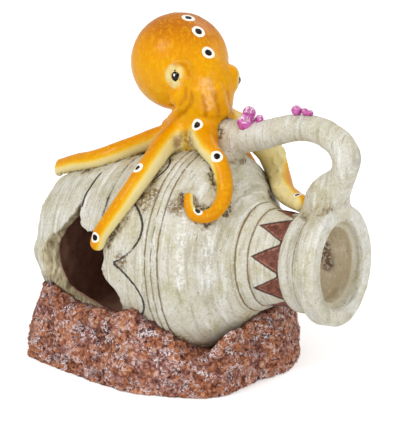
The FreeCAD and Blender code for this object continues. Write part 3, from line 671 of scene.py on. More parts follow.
# The line scratched round the belly: pointed towards the foot, round towards the mouth
WAVE_LOW = -11.6
WAVE_REACH = 15.0
WAVE_ANGLE = 83.5
WAVE_PITCH = 40.0
# The dark groove round the belly
RING_ALONG = -20.0


def triangles(along, radius, angle):
    """Signed distance in mm to the nearest painted triangle's edge, negative inside."""
    part = (angle - TRIANGLE_ANGLE + TRIANGLE_PITCH / 2) % TRIANGLE_PITCH - TRIANGLE_PITCH / 2
    across = np.abs(np.radians(part)) * radius
    slope = math.radians(TRIANGLE_PITCH) * TRIANGLE_RADIUS * TRIANGLE_HALF / (COLLAR_ALONG - TRIANGLE_TIP)
    edge = (across - (along - TRIANGLE_TIP) * slope) / math.hypot(1, slope)
    return np.maximum(edge, along - 60)


def neck(points):
    along, _, _, radius, angle = to_amphora(points)
    outside = NECK_TABLE(along, radius)
    outside += 0.4 * rings(along, (36.2, 40.8), 0.55)
    sunk = smoothstep(0.15, -0.35, triangles(along, radius, angle)) * smoothstep(55.2, 54.6, along)
    outside += 0.45 * sunk
    outside += 0.22 + 0.18 * noise(points, 7.0, 31) + 0.10 * noise(points, 2.2, 32)
    mouth = MOUTH_TABLE(along, radius) + smoothstep(71, 66, along) * 0.7 * noise(points, 4.0, 33)
    return np.maximum(outside, -mouth)


def handle(points):
    bar = handle_bar(points) + 0.25 * noise(points, 8.0, 41) + 0.12 * noise(points, 2.6, 42)
    plain = plain_amphora(points)
    along, _, _, radius, _ = to_amphora(points)
    root = smoothstep(34, 22, along)
    foot = np.maximum(smooth_min(bar, plain + 0.4, 5.0), bar - 4.5)
    wide = np.maximum(smooth_min(bar, plain + 0.4, 8.0), bar - 5.0)
    flared = foot * (1 - root) + wide * root
    end = along - 73.6 - 0.5 * np.maximum(radius - 26.0, 0)
    return np.maximum(smooth_max(flared, end, 2.0), -(plain + 0.9))


# Rock

def rock_line(shares, reach, count, closed=False):
    """A smooth line in mm through rows of shares: to the left or right, and of another reach."""
    rows = [(side * (ROCK_LEFT if side < 0 else ROCK_RIGHT), other * reach) for side, other in shares]
    return through(rows, count, closed)


ROCK_TABLE = Table(rock_line(ROCK_SHARES, ROCK_HALF_WIDTH, 8, closed=True), (-84, -62), (60, 62), 0.5)
ROCK_TOP = rock_line(ROCK_TOP_SHARES, ROCK_HEIGHT, 6)


def crest(points, scale, seed):
    """Thin winding ridges: 1 on a crest, falling to 0."""
    bend = np.stack([noise(points, 0.8 * scale, seed + axis) for axis in (1, 2, 3)], axis=1)
    return np.clip(1 - 2.0 * np.abs(noise(points + 0.3 * scale * bend, scale, seed)), 0, 1)


def rock_relief(points):
    """Height of the rock's ridges, lumps and pits in mm, from about -2.8 to 0.5."""
    ridges = 1.0 * crest(points, 4.6, 51) + 0.9 * crest(points, 2.7, 61)
    lumps = 0.6 * noise(points, 9.0, 71) + 0.4 * noise(points, 3.4, 72) + 0.3 * noise(points, 1.7, 73)
    return ridges + lumps - 1.8


def rock_mound(points):
    growth = np.interp(points[:, 2] / ROCK_HEIGHT, *np.array(ROCK_STEP_SHARES).T)
    side = ROCK_TABLE(points[:, 0] / growth, points[:, 1] / growth) * growth
    top = (points[:, 2] - np.interp(points[:, 0], ROCK_TOP[:, 0], ROCK_TOP[:, 1])) * 0.9
    return smooth_max(side, top, 4.0)


def rock(points):
    form = rock_mound(points) - rock_relief(points) * smoothstep(-0.5, 1.5, points[:, 2])
    form = np.maximum(form, 0.05 - points[:, 2])
    return np.maximum(form, -(plain_amphora(points) + 0.4))


# Coral and eyes

def coral_form(name):
    """A coral cluster's form, and the low and high corners of its box."""
    lobes = []
    for share, height, side, scale in CORAL[name]:
        middle, out, across, wide = on_handle(share)
        radius = LOBE_RADIUS * scale
        lobes.append((middle + out * (wide + height * radius) + across * side * radius, radius))

    def form(points):
        body = np.full(len(points), FAR)
        for place, radius in lobes:
            body = smooth_min(body, away(points, place) - radius, 0.9)
        body -= 0.28 * noise(points, 1.7, 81) + 0.14 * noise(points, 0.8, 82) - 0.2
        return np.maximum(body, -(handle_bar(points) + 0.5))

    low = np.min([place - radius for place, radius in lobes], axis=0) - 1.5
    high = np.max([place + radius for place, radius in lobes], axis=0) + 1.5
    return form, low, high


def bead_form(side):
    """An eye bead's form, and the low and high corners of its box."""
    place = eye_place(side, EYE_REACH[side])

    def form(points):
        return away(points, place) - 2.46 + 0.03 * noise(points, 1.2, 91)

    return form, place - 3, place + 3


# Meshing

def sample(form, low, high, step):
    """The form's values on a grid, worked out only in the blocks that may hold its surface."""
    block, batch = 4, 8000
    counts = np.ceil((high - low) / (step * block)).astype(int) + 1
    blocks = np.indices(counts).reshape(3, -1).T
    coarse = form(low + (blocks + 0.5) * step * block)
    values = np.kron(coarse.reshape(counts).astype(np.float32), np.ones((block,) * 3, np.float32))
    near = blocks[np.abs(coarse) < block * step + 2.0]
    corner = np.indices((block,) * 3).reshape(3, -1).T
    for start in range(0, len(near), batch):
        cells = (near[start:start + batch, None] * block + corner).reshape(-1, 3)
        values[tuple(cells.T)] = form(low + (cells + 0.5) * step)
    return values, low + 0.5 * step


def crossings(values, cells):
    """The middle of the places where the surface crosses each cell's edges."""
    total = np.zeros((len(cells), 3))
    hits = np.zeros(len(cells))
    for start in CORNERS:
        for axis in np.flatnonzero(start == 0):
            end = start + AXES[axis]
            first, second = [values[tuple((cells + corner).T)].astype(float) for corner in (start, end)]
            crossed = (first < 0) != (second < 0)
            share = first[crossed] / (first[crossed] - second[crossed])
            total[crossed] += start + np.outer(share, AXES[axis])
            hits[crossed] += 1
    return total / hits[:, None]


def surface_net(values, low, step):
    """One point in each cell that the surface passes, and a face round each crossed grid edge."""
    inside = values < 0
    shape = np.array(values.shape) - 1
    count = np.zeros(shape, np.uint8)
    for x, y, z in CORNERS:
        count += inside[x:x + shape[0], y:y + shape[1], z:z + shape[2]]
    active = (count > 0) & (count < 8)
    cells = np.argwhere(active)
    number = np.full(shape, -1, np.int32)
    number[active] = np.arange(len(cells))
    faces = []
    for axis in range(3):
        first, second = AXES[(axis + 1) % 3], AXES[(axis + 2) % 3]
        take = [slice(1, -1)] * 3
        take[axis] = slice(0, -1)
        here = inside[tuple(take)]
        take[axis] = slice(1, None)
        there = inside[tuple(take)]
        for outward in (True, False):
            edges = np.argwhere((here != there) & (here == outward)) + 1 - AXES[axis]
            ring = [number[tuple((edges + shift).T)] for shift in (-first - second, -second, 0, -first)]
            faces.append(np.stack(ring if outward else ring[::-1], axis=1))
    faces = np.vstack(faces)
    return low + step * (cells + crossings(values, cells)), faces[(faces >= 0).all(axis=1)]


def slope_of(form, points, reach=0.15):
    """How steeply a form rises along X, Y and Z."""
    rises = [form(points + reach * way) - form(points - reach * way) for way in AXES]
    return np.stack(rises, axis=1) / (2 * reach)


def settle(form, points, step):
    """Moves the points onto the surface, a little at a time."""
    for _ in range(2):
        slope = slope_of(form, points)
        size = np.maximum((slope**2).sum(axis=1), 0.2)
        move = -form(points)[:, None] * slope / size[:, None]
        length = np.maximum(np.linalg.norm(move, axis=1), 1e-6)
        points = points + move * np.minimum(1, 0.4 * step / length)[:, None]
    return points


def placed(name, data):
    """A new object in the scene."""
    item = bpy.data.objects.new(name, data)
    bpy.context.scene.collection.objects.link(item)
    return item


def skin(name, form, low, high, step, material, slot, *nodes):
    """A smooth mesh of a form, which stands for CAD nodes. Returns the object and its points in mm."""
    step *= COARSE
    values, start = sample(form, np.array(low, float), np.array(high, float), step)
    points, faces = surface_net(values, start, step)
    points = settle(form, points, step)
    mesh = bpy.data.meshes.new(name)
    mesh.from_pydata(points * MM, [], faces, shade_flat=False)
    mesh.validate()
    mesh.materials.append(material)
    piece = placed(name, mesh)
    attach(piece, "root")
    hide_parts(*nodes)
    print(f"{name}: {len(points)} points, {len(faces)} faces")
    return piece, points


def note(piece, **numbers):
    """Keeps numbers for each point of a piece, by name, for its material."""
    for name, values in numbers.items():
        made = piece.data.attributes.new(name, "FLOAT", "POINT")
        made.data.foreach_set("value", np.full(len(made.data), values, np.float32))


def line_distance(points, lines, limit=4.0):
    """Distance in mm to the nearest of some lines, up to a limit."""
    dense = []
    for line in lines:
        for start, end in zip(line, line[1:]):
            steps = max(2, int(np.linalg.norm(end - start) / 0.4))
            dense.extend(np.linspace(start, end, steps))
    tree = KDTree(len(dense))
    for index, place in enumerate(dense):
        tree.insert(place, index)
    tree.balance()

    def field(near):
        return np.minimum([tree.find(point)[2] for point in near], limit)

    return where_near(points, dense, limit, field, limit)


# Materials

def paint(*channels):
    """A colour given as it looks on a screen, from 0 to 255, in the renderer's own scale."""
    values = [channel / 255 for channel in channels]
    return (*[v / 12.92 if v <= 0.04045 else ((v + 0.055) / 1.055) ** 2.4 for v in values], 1.0)


class Value:
    """What a node gives, with the sums that the materials need."""

    def __init__(self, maker, socket):
        self.maker = maker
        self.socket = socket

    def __add__(self, other):
        return self.maker.math("ADD", self, other)

    def __sub__(self, other):
        return self.maker.math("SUBTRACT", self, other)

    def __mul__(self, other):
        return self.maker.math("MULTIPLY", self, other)

    def between(self, low, high, kind="SMOOTHSTEP"):
        """0 at low, 1 at high, and smooth or straight between them."""
        ends = {"From Min": min(low, high), "From Max": max(low, high),
                "To Min": float(low > high), "To Max": float(low <= high)}
        return self.maker.add("MapRange", "Result", {"Value": self, **ends}, interpolation_type=kind)


class Paint:
    """The nodes of a material or of the world, with short calls for the kinds that it uses."""

    def __init__(self, owner, shader):
        owner.use_nodes = True
        self.owner = owner
        self.nodes = owner.node_tree.nodes
        self.shader = self.nodes[shader]

    def put(self, value, socket):
        if isinstance(value, Value):
            self.owner.node_tree.links.new(value.socket, socket)
        else:
            socket.default_value = value

    def add(self, kind, output, inputs, **settings):
        """An output of a new node whose settings and inputs are filled in."""
        node = self.nodes.new("ShaderNode" + kind)
        for name, setting in settings.items():
            setattr(node, name, setting)
        for name, value in inputs.items():
            self.put(value, node.inputs[name])
        return Value(self, node.outputs[output])

    def math(self, kind, *values):
        return self.add("Math", 0, dict(enumerate(values)), operation=kind)

    def seen(self):
        """1 where the camera or a ray through glass looks, and 0 for the light on the object."""
        path = self.nodes.new("ShaderNodeLightPath").outputs
        rays = [Value(self, path[name]) for name in ("Is Camera Ray", "Is Transmission Ray")]
        return self.math("MAXIMUM", *rays)


class Material(Paint):
    """A material that starts with one colour and is brushed over."""

    def __init__(self, name):
        super().__init__(bpy.data.materials.new(name), "Principled BSDF")
        self.place = self.add("TexCoord", "Object", {})
        self.normal = None

    def noted(self, name):
        """A number that the piece keeps for each of its points, or 0 where it keeps none."""
        return self.add("Attribute", "Fac", {}, attribute_name=name)

    def noise(self, scale, detail=3.0, rough=0.55, vector=None, distort=0.0):
        """Noise whose lumps are about scale mm across."""
        return self.add("TexNoise", "Fac", {
            "Vector": vector or self.place, "Scale": 1 / (MM * scale), "Detail": detail, "Roughness": rough,
            "Distortion": distort})

    def cells(self, scale, feature="F1", vector=None):
        """Distance from the middles, or from the edges, of cells about scale mm across."""
        inputs = {"Vector": vector or self.place, "Scale": 1 / (MM * scale)}
        return self.add("TexVoronoi", "Distance", inputs, feature=feature)

    def stretched(self, x, y, z):
        return self.add("VectorMath", 0, {0: self.place, 1: (x, y, z)}, operation="MULTIPLY")

    def bent(self, scale, reach):
        """The place pushed about by up to reach mm in lumps of scale mm."""
        push = self.add("TexNoise", "Color", {"Vector": self.place, "Scale": 1 / (MM * scale)})
        inputs = {0: push, 1: (reach * MM,) * 3, 2: self.place}
        return self.add("VectorMath", 0, inputs, operation="MULTIPLY_ADD")

    def turned(self, share):
        """The place in the amphora's own frame, drawn out round its axis."""
        along, up, aside = [
            self.add("VectorMath", "Value", {0: self.place, 1: tuple(way)}, operation="DOT_PRODUCT")
            for way in (AXIS, UP, -FRONT)]
        return self.add("CombineXYZ", 0, {0: along, 1: up * share, 2: aside * share})

    def ramp(self, value, *stops):
        """A colour for a value, from stops of position, red, green and blue."""
        node = self.nodes.new("ShaderNodeValToRGB")
        elements = node.color_ramp.elements
        for index in (0, -1):
            position, *channels = stops[index]
            elements[index].position = position
            elements[index].color = paint(*channels)
        for position, *channels in stops[1:-1]:
            elements.new(position).color = paint(*channels)
        self.put(value, node.inputs["Fac"])
        return Value(self, node.outputs["Color"])

    def brush(self, share, colour):
        """Lays a colour over the colour so far."""
        if not isinstance(colour, Value):
            colour = paint(*colour)
        inputs = {"Factor": share, "A": self.colour, "B": colour}
        self.colour = self.add("Mix", "Result", inputs, data_type="RGBA")

    def bump(self, height, distance, strength):
        """Adds relief whose height runs from 0 to 1 over distance mm."""
        inputs = {"Strength": strength, "Distance": distance * MM, "Height": height}
        if self.normal:
            inputs["Normal"] = self.normal
        self.normal = self.add("Bump", "Normal", inputs)

    def finish(self, rough, coat=0.0, specular=0.5):
        inputs = {"Base Color": self.colour, "Roughness": rough, "Coat Weight": coat, "Coat Roughness": 0.12,
                  "Specular IOR Level": specular}
        if self.normal:
            inputs["Normal"] = self.normal
        for name, value in inputs.items():
            self.put(value, self.shader.inputs[name])
        return self.owner


def octopus_paint():
    p = Material("octopus_paint")
    patches = (p.noise(9.0, 2.0) - 0.5) * 0.22
    brushed = (p.noise(1.1, 2.0, vector=p.stretched(0.25, 0.25, 1.0)) - 0.5) * 0.12
    tone = p.noted("tone")
    p.colour = p.ramp(tone + (patches + brushed), (0.0, 232, 216, 158), (0.14, 236, 212, 128),
                      (0.32, 232, 186, 48), (0.50, 228, 160, 0), (0.72, 222, 144, 0), (0.88, 208, 126, 2),
                      (1.0, 190, 108, 6))
    # Painted highlight, pink-cream, down the ridge of the face
    p.brush(p.noted("blush") * p.noise(1.6).between(0.35, 0.6), (246, 188, 120))
    p.brush(p.noted("eyelid") * p.noise(3.0, 2.0).between(0.15, 0.5), (226, 214, 150))
    # Painted shade in the folds of the face and neck
    p.brush(p.noted("crease") * 0.5, (176, 96, 8))
    strokes = p.noise(1.2, vector=p.stretched(1.0, 1.0, 0.3))
    p.brush(strokes.between(0.48, 0.68) * tone.between(0.2, 0.5) * 0.45, (242, 184, 14))
    p.brush(p.noted("shade") * p.noise(1.8, 4.0).between(0.25, 0.55) * 0.75, (128, 84, 30))
    # Painted shade, broken up by noise, where the octopus meets the amphora
    p.brush(p.noted("contact") * p.noise(1.4, 4.0).between(0.4, 0.62) * 0.8, (120, 92, 40))
    wobble = (p.noise(1.5, 1.0) - 0.5) * 0.5
    for name, colour in (("dot_ring", (250, 246, 236)), ("dot_core", (22, 13, 15))):
        p.brush((p.noted(name) + wobble).between(0.10, -0.10), colour)
    p.bump(p.noise(0.55, 2.0), 0.05, 0.5)
    p.bump(strokes, 0.16, 0.8)
    return p.finish(p.noise(4.0, 2.0).between(-0.6, 3.4, "LINEAR"), specular=0.14)


def wash_amphora(p, turned, fine):
    """Pale plaster with olive patches, turned streaks, and dark hair lines."""
    p.colour = p.ramp(p.noise(12.0, 5.0, 0.62), (0.30, 188, 181, 150), (0.44, 206, 201, 180),
                      (0.58, 214, 211, 198), (0.74, 224, 222, 214))
    p.brush(p.noise(7.0, 5.0, 0.7).between(0.50, 0.68) * 0.55, (184, 172, 124))
    p.brush(p.noise(1.7, 3.0, 0.6, turned).between(0.50, 0.66) * 0.5, (156, 149, 122))
    p.brush(p.noise(2.6, 4.0, 0.65, turned).between(0.54, 0.68) * 0.75, (238, 238, 234))
    p.brush(fine.between(0.48, 0.32) * 0.35, (140, 130, 96))
    p.brush(fine.between(0.56, 0.70) * 0.5, (244, 244, 242))
    hair = p.noise(0.75, 2.0, 0.5, turned).between(0.36, 0.30) * p.noise(6.0, 2.0).between(0.46, 0.64)
    p.brush(hair * 0.6, (112, 98, 68))
    p.brush(p.noted("chalk") * p.noise(1.3, 4.0, 0.7).between(0.44, 0.60) * 0.7, (248, 248, 244))


def soil_amphora(p):
    """Brown dirt and painted shade near what touches it, painted shade in the mouth's hollow, and the bare
    stone of the break, the inside and the mouth.
    """
    # Brown dirt, with painted shade, where another part sits on or against the amphora
    soil = p.noted("soil") * (p.noise(7.0).between(0.40, 0.58) * 0.75 + 0.25)
    p.brush(soil * p.noise(2.4, 4.0).between(0.26, 0.60) * 0.85, (154, 128, 70))
    p.brush(soil.between(0.40, 0.90) * p.noise(1.3, 5.0, 0.7).between(0.40, 0.56) * 0.92, (52, 40, 26))
    grain = p.noise(1.1, 4.0, 0.7, p.stretched(1.0, 0.4, 0.2))
    p.brush(p.noted("broken") * 0.9,
            p.ramp(grain, (0.32, 116, 98, 64), (0.46, 172, 156, 116), (0.62, 212, 202, 168)))
    p.brush(p.noted("inside"), p.ramp(p.noise(7.0), (0.3, 148, 100, 80), (0.7, 186, 144, 124)))
    p.brush(p.noted("scar") * p.noise(1.4, 4.0, 0.7).between(0.40, 0.58), (122, 96, 52))
    p.brush(p.noted("mouth") * p.noise(3.0, 5.0, 0.65).between(0.20, 0.55) * 0.85, (176, 156, 122))
    # Painted shade in the hollow deep in the mouth
    p.brush(p.noted("cavity") * p.noise(1.2, 4.0, 0.7).between(0.36, 0.54), (88, 62, 40))


def decorate_amphora(p):
    """Brown grooves, the dark scratched line, and red triangles. Returns the line's distance."""
    ring = p.noted("ring") + (p.noise(2.2) - 0.5) * 0.7
    p.brush(ring.between(0.35, 0.75) * 0.85, (118, 92, 44))
    line = p.noted("line") + (p.noise(1.3, 2.0) - 0.5) * 0.5
    p.brush(line.between(0.80, 0.46) * 0.95, (40, 30, 20))
    edge = p.noted("triangle") + (p.noise(1.8, 2.0) - 0.5) * 0.5
    p.brush(edge.between(0.12, -0.12),
            p.ramp(p.noise(2.2, 4.0, 0.7), (0.30, 72, 36, 28), (0.48, 114, 62, 46), (0.66, 150, 92, 72)))
    border = edge.between(-0.45, -0.75) * edge.between(-1.25, -0.95)
    p.brush(border * p.noise(1.2, 2.0).between(0.4, 0.6) * 0.6, (196, 152, 132))
    p.brush(edge.between(-0.42, -0.12) * edge.between(0.42, 0.12) * 0.85, (40, 24, 20))
    return line


def amphora_paint():
    p = Material("amphora_paint")
    turned = p.turned(0.10)
    fine = p.noise(0.9, 3.0, 0.7)
    wash_amphora(p, turned, fine)
    soil_amphora(p)
    line = decorate_amphora(p)
    p.brush(p.cells(4.2).between(0.075, 0.045) * 0.9, (48, 44, 34))
    p.brush(p.noise(0.7, 3.0, 0.7).between(0.66, 0.73) * 0.6, (100, 90, 62))
    p.bump(fine, 0.30, 1.0)
    p.bump(p.noise(0.9, 3.0, 0.6, turned), 0.30, 0.9)
    p.bump(line.between(0.1, 0.8), 0.6, 1.0)
    return p.finish(p.noise(2.0).between(-0.3, 1.5, "LINEAR"), specular=0.35)


def rock_paint():
    p = Material("rock_paint")
    bent = p.bent(1.9, 2.6)
    wall = p.cells(3.3, "DISTANCE_TO_EDGE", bent)
    small_wall = p.cells(1.9, "DISTANCE_TO_EDGE", bent)
    fine = p.noise(1.3, 4.0, 0.65)
    bits = p.noise(0.75, 2.0, 0.6)
    lump = wall.between(0.0, 0.30) * 0.32 + small_wall.between(0.0, 0.26) * 0.10
    height = lump + (p.noted("relief") - 0.5) * 0.7 + 0.30 + (fine - 0.5) * 1.7
    p.colour = p.ramp(height, (0.10, 88, 42, 26), (0.36, 144, 80, 50), (0.62, 192, 118, 76),
                      (0.84, 214, 148, 112), (1.0, 234, 190, 166))
    purple = p.ramp(height, (0.10, 72, 34, 30), (0.36, 124, 70, 58), (0.62, 170, 108, 92),
                    (0.84, 200, 150, 136), (1.0, 228, 196, 190))
    p.brush(p.noise(8.0, 4.0, 0.6).between(0.44, 0.62), purple)
    swept = p.noise(4.5, 3.0, 0.6).between(0.47, 0.60) * 0.95 + 0.05
    lines = wall.between(0.02, 0.07) * wall.between(0.19, 0.12) * swept * fine.between(0.42, 0.50)
    p.brush(lines, (250, 240, 244))
    # Small pale specks: painted glints of light on the rock
    p.brush(p.noise(0.6, 2.0, 0.7).between(0.66, 0.72) * 0.7, (246, 214, 184))
    # Painted shade where the amphora sits in the rock
    p.brush(p.noted("contact") * 0.7, (66, 34, 24))
    p.bump(lump + fine, 1.5, 1.0)
    p.bump(bits, 0.35, 0.9)
    return p.finish(bits.between(0.1, 0.9, "LINEAR"), specular=0.3)


def coral_paint():
    p = Material("coral_paint")
    p.colour = p.ramp(p.noise(2.4, 4.0, 0.6), (0.30, 140, 44, 112), (0.50, 190, 76, 156),
                      (0.70, 214, 116, 188))
    # White laid in noisy patches on the faces that look upwards
    dabs = p.noise(1.6, 3.0, 0.6, distort=1.5).between(0.47, 0.56)
    p.brush(dabs * p.noted("dabs"), (246, 238, 244))
    p.bump(p.noise(0.9), 0.25, 0.8)
    return p.finish(p.noise(2.0, 2.0).between(-0.2, 1.8, "LINEAR"), coat=0.2)


def eye_paint():
    p = Material("eye_paint")
    p.colour = p.ramp(p.noise(1.4), (0.40, 4, 3, 4), (0.80, 44, 24, 24))
    p.brush(p.noted("glint").between(0.62, 0.50), (252, 250, 248))
    p.bump(p.noise(0.7, 1.0), 0.02, 0.4)
    return p.finish(0.12, specular=0.3)


def floor_paint():
    """A pale floor, which the camera sees a little brighter than the lamps light it."""
    p = Material("floor_paint")
    p.colour = p.ramp(p.noise(60.0, 2.0), (0.3, 245.8, 245.8, 245.8), (0.7, 248.15, 248.15, 248.15))
    p.put((1, 1, 1, 1), p.shader.inputs["Emission Color"])
    p.put(p.seen() * FLOOR_GLOW, p.shader.inputs["Emission Strength"])
    return p.finish(0.7, specular=0.1)


# The pieces

# Distances in mm that a piece without the scratched line or without triangles notes for them
NO_LINE = 4.0
NO_TRIANGLE = 5.0


def octopus_tone(points):
    """How deep the orange is: pale on the arms' undersides, deep on top of the mantle."""
    out = unit(slope_of(octopus, points, 0.5))
    top = (points - MANTLE_PLACE)[:, 2] / MANTLE_RADIUS
    mantle_gap = away(points, MANTLE_PLACE) - MANTLE_RADIUS
    head_gap = ellipsoid(points, HEAD_PLACE, HEAD_RADII, FACE_TURN)
    neck_gap = chain(points, np.array([CROWN_PLACE, HEAD_PLACE]), NECK_HALVES, 20)
    round_tone = 0.58 + 0.44 * smoothstep(0.15, 1.0, top) - 0.10 * smoothstep(0.25, -0.95, out[:, 2])
    face = HEAD_TURN @ np.array([0.6, -0.75, 0.0])
    round_tone -= 0.06 * smoothstep(0.2, 1.0, out @ face) * smoothstep(128, 100, points[:, 2])
    arm_tone = np.zeros(len(points))
    arm_gap = np.full(len(points), FAR)
    for middles, halves, ridge, _ in ARM_LINES.values():
        gap = chain(points, middles, halves)
        closer = gap < arm_gap
        spans = ((points[closer, None] - middles[None]) ** 2).sum(axis=2)
        nearest = spans.argmin(axis=1)
        turned = (unit(points[closer] - middles[nearest]) * ridge[nearest]).sum(axis=1)
        arm_tone[closer] = 0.02 + 0.70 * smoothstep(-0.60, 0.55, turned)
        arm_gap[closer] = gap[closer]
    to_arm = smoothstep(-2.5, 3.0, np.min([mantle_gap, head_gap, neck_gap], axis=0) - arm_gap)
    return round_tone * (1 - to_arm) + arm_tone * to_arm


def eyelids(points):
    """1 on the pale skin round each eye, falling to 0."""
    shares = []
    for side in (-1, 1):
        gap = (points - eye_place(side, EYE_REACH[side])) @ HEAD_TURN
        gap = np.sqrt(gap[:, 0] ** 2 + 0.5 * gap[:, 1] ** 2 + (0.72 * gap[:, 2]) ** 2)
        shares.append(smoothstep(4.6, 3.3, gap))
    return np.maximum(*shares)


def make_octopus():
    nodes = ["octopus_body"] + [f"octopus_arm_{name}" for name in ARMS]
    piece, points = skin("octopus_skin", octopus, (-68, -50, 18), (54, 56, 150), 0.62, octopus_paint(),
                         "octopus", *nodes)
    # A painted highlight down the ridge of the face
    blush = seen_at([(206, 84), (209, 94), (208, 104)], octopus_form)
    creases = [seen_at(pixels, octopus) for pixels in CREASE_PIXELS]
    shade = seen_at([(178, 143), (184, 139), (187, 137), (189, 142)], octopus)
    note(
        piece,
        tone=octopus_tone(points),
        dot_ring=np.min([away(points, place) - ring for place, ring, _ in DOTS], axis=0),
        dot_core=np.min([away(points, place) - core for place, _, core in DOTS], axis=0),
        eyelid=eyelids(points),
        blush=smoothstep(3.8, 1.6, line_distance(points, [blush])),
        crease=smoothstep(1.5, 0.3, line_distance(points, creases)),
        shade=smoothstep(5.0, 1.0, line_distance(points, [shade], 8.0)),
        contact=smoothstep(1.6, 0.1, plain_amphora(points)),
    )


def soil_near(points):
    """1 where the amphora touches the octopus or the rock, falling to 0."""
    under_octopus = smoothstep(5.5, 0.6, octopus_form(points))
    return np.maximum(under_octopus, 0.75 * smoothstep(4.5, 0.3, rock_mound(points)))


def wave_line():
    places = []
    for angle in np.arange(-180, 181, 1.0):
        wave = abs(math.sin(math.pi * (angle - WAVE_ANGLE) / WAVE_PITCH)) ** 0.8
        places.append(on_amphora(WAVE_LOW + WAVE_REACH * wave, angle)[0])
    return np.array(places)


def make_belly():
    piece, points = skin("amphora_belly", belly, (-74, -50, 0), (42, 50, 98), 0.68, AMPHORA, "amphora",
                         "amphora_body")
    along, front, up, radius, _ = to_amphora(points)
    outside = BELLY_TABLE(along, radius)
    hollow = np.abs(HOLLOW_TABLE(along, radius))
    broken = np.abs(opening(along, front, up, points))
    crack = seen_at([(82, 206), (85, 196), (89, 189), (95.5, 179.5), (101, 173)], plain_amphora)
    ring_line = np.array([on_amphora(RING_ALONG, angle)[0] for angle in range(-180, 181, 3)])
    scars = seen_at([(143, 206), (176, 207), (152, 194), (120, 262)], plain_amphora)
    streaks = [seen_at(pixels, plain_amphora) for pixels in (
        [(184, 216), (181, 240), (179, 262), (180, 284)], [(207, 222), (206, 250), (208, 280)])]
    note(
        piece,
        inside=smoothstep(1.1, 0.4, hollow) * smoothstep(-1.8, -3.0, outside),
        broken=smoothstep(1.2, 0.3, broken) * smoothstep(-0.3, -0.9, outside),
        soil=np.maximum(soil_near(points), smoothstep(5.0, 0.3, handle_bar(points))),
        ring=np.maximum(rings(along, (6.0, 12.0), 0.5), 0.8 * rings(along, (9.2,), 0.45)),
        line=line_distance(points, [wave_line(), ring_line, crack]) + 3 * smoothstep(-0.6, -1.4, outside),
        scar=smoothstep(5.5, 2.0, np.min([away(points, place) for place in scars], axis=0)),
        triangle=NO_TRIANGLE,
        chalk=smoothstep(3.4, 0.6, line_distance(points, streaks)),
    )


def make_neck():
    piece, points = skin("amphora_mouth_and_neck", neck, (26, -30, 20), (80, 30, 88), 0.55, AMPHORA,
                         "amphora", "amphora_neck")
    along, _, _, radius, angle = to_amphora(points)
    handle_soil = 0.5 * smoothstep(2.0, 0.3, handle_bar(points)) * (along < 66)
    collar = 0.75 * rings(along, (62.4, 65.6), 0.5) * (radius > 19.5)
    painted = np.minimum(triangles(along, radius, angle), 54.0 - along)
    painted = np.where(along > COLLAR_ALONG + 0.35, 3.0, painted)
    # Painted shade in the rough hollow on the left of the mouth's floor
    cavity = seen_at([(324, 248), (325, 256), (328, 264)], neck)
    note(
        piece,
        soil=np.maximum(soil_near(points), handle_soil),
        ring=np.maximum(rings(along, (36.2, 40.8), 0.45), collar),
        line=NO_LINE,
        triangle=np.maximum(painted, along - COLLAR_ALONG - 0.2),
        mouth=smoothstep(71.0, 69.0, along) * smoothstep(19.0, 17.8, radius) * (along > 52),
        cavity=smoothstep(4.2, 1.6, line_distance(points, [cavity], 6.0)),
    )


def make_handle():
    piece, points = skin("amphora_handle_skin", handle, (-4, -14, 70), (88, 28, 112), 0.55, AMPHORA,
                         "amphora", "amphora_handle")
    octopus_soil = smoothstep(5.5, 0.5, octopus_form(points))
    soil = np.maximum(octopus_soil, 0.7 * smoothstep(4.0, 0.3, plain_amphora(points)))
    note(piece, soil=soil, line=NO_LINE, triangle=NO_TRIANGLE)


def make_rock():
    piece, points = skin("rock_skin", rock, (-74, -56, -2), (52, 56, 46), 0.58, rock_paint(), "rock",
                         "rock_base")
    note(piece, relief=(rock_relief(points) + 3.0) / 3.6, contact=smoothstep(2.5, 0.2, plain_amphora(points)))


def make_coral():
    material = coral_paint()
    for name, node, dabs in (("coral_near_crown", "coral_cluster_near_crown", 1.0),
                             ("coral_on_handle", "coral_cluster_on_handle", 0.35)):
        form, low, high = coral_form(name)
        piece, points = skin(name, form, low, high, 0.3, material, "coral", node)
        note(piece, dabs=dabs * smoothstep(0.1, 0.8, unit(slope_of(form, points, 0.3))[:, 2]))


def make_eyes():
    material = eye_paint()
    seen_glint = seen_at([(174.0, 75.0)], bead_form(-1)[0])[0]
    far_glint = eye_place(1, EYE_REACH[1] + 2.2, 3.6, 6.4)
    for name, side, glint in (("eye_left", -1, seen_glint), ("eye_right", 1, far_glint)):
        form, low, high = bead_form(side)
        piece, points = skin(name + "_bead", form, low, high, 0.22, material, "eye", name)
        note(piece, glint=away(points, glint))


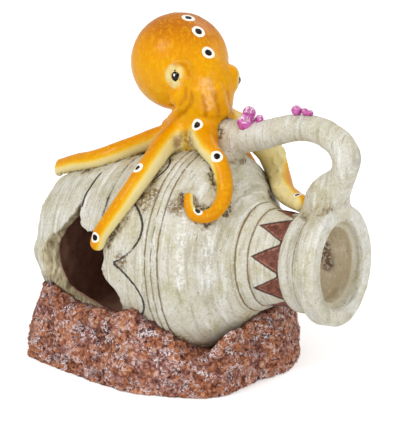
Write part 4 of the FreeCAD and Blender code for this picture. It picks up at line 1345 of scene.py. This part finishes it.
AMPHORA = amphora_paint()
for make in (make_octopus, make_belly, make_neck, make_handle, make_rock, make_coral, make_eyes):
    make()


# Floor, light and camera

def make_floor():
    mesh = bpy.data.meshes.new("floor")
    corners = [(x * FLOOR_REACH, y * FLOOR_REACH, 0) for x, y in ((-1, -1), (1, -1), (1, 1), (-1, 1))]
    mesh.from_pydata(corners, [], [(0, 1, 2, 3)])
    mesh.materials.append(floor_paint())
    floor = placed("floor", mesh)
    floor.location.z = FLOOR_DROP
    floor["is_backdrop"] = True


def make_light(name, place, size, power):
    """A square lamp that faces the middle of the object."""
    lamp = bpy.data.lights.new(name, "AREA")
    lamp.size = size
    lamp.energy = power
    item = placed(name, lamp)
    item.location = place
    item.rotation_euler = (OBJECT_MIDDLE - Vector(place)).to_track_quat("-Z", "Y").to_euler()


def make_world():
    """A soft studio: plain light on the object, and white where the camera or a ray through glass sees past
    it.
    """
    world = bpy.data.worlds.new("studio")
    bpy.context.scene.world = world
    p = Paint(world, "Background")
    inputs = {"Value": p.seen(), "To Min": WORLD_LIGHT, "To Max": 1.0}
    p.put((1, 1, 1, 1), p.shader.inputs["Color"])
    p.put(p.add("MapRange", "Result", inputs), p.shader.inputs["Strength"])


def make_camera():
    camera = bpy.data.cameras.new("camera")
    camera.sensor_width = SENSOR
    camera.sensor_fit = "AUTO"
    camera.lens = FOCAL_PIXELS * SENSOR / HEIGHT
    camera.clip_end = 20
    item = placed("camera", camera)
    turned = Matrix(np.stack([SEEN_RIGHT, SEEN_UP, SEEN_BACK], axis=1)).to_4x4()
    item.matrix_world = Matrix.Translation(Vector(EYE * MM)) @ turned
    bpy.context.scene.camera = item


make_floor()
make_light("key", (-0.35, -0.75, 0.85), 0.45, 5.7)
make_light("fill", (0.85, -0.35, 0.45), 0.7, 3.1)
make_light("back", (0.1, 0.8, 0.8), 0.6, 2.6)
make_world()
make_camera()
bpy.context.scene.view_settings.view_transform = "Standard"

boxes = {"cad": cad_box, "visual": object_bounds()}
{name: [[round(float(v), 6) for v in corner] for corner in box] for name, box in boxes.items()}
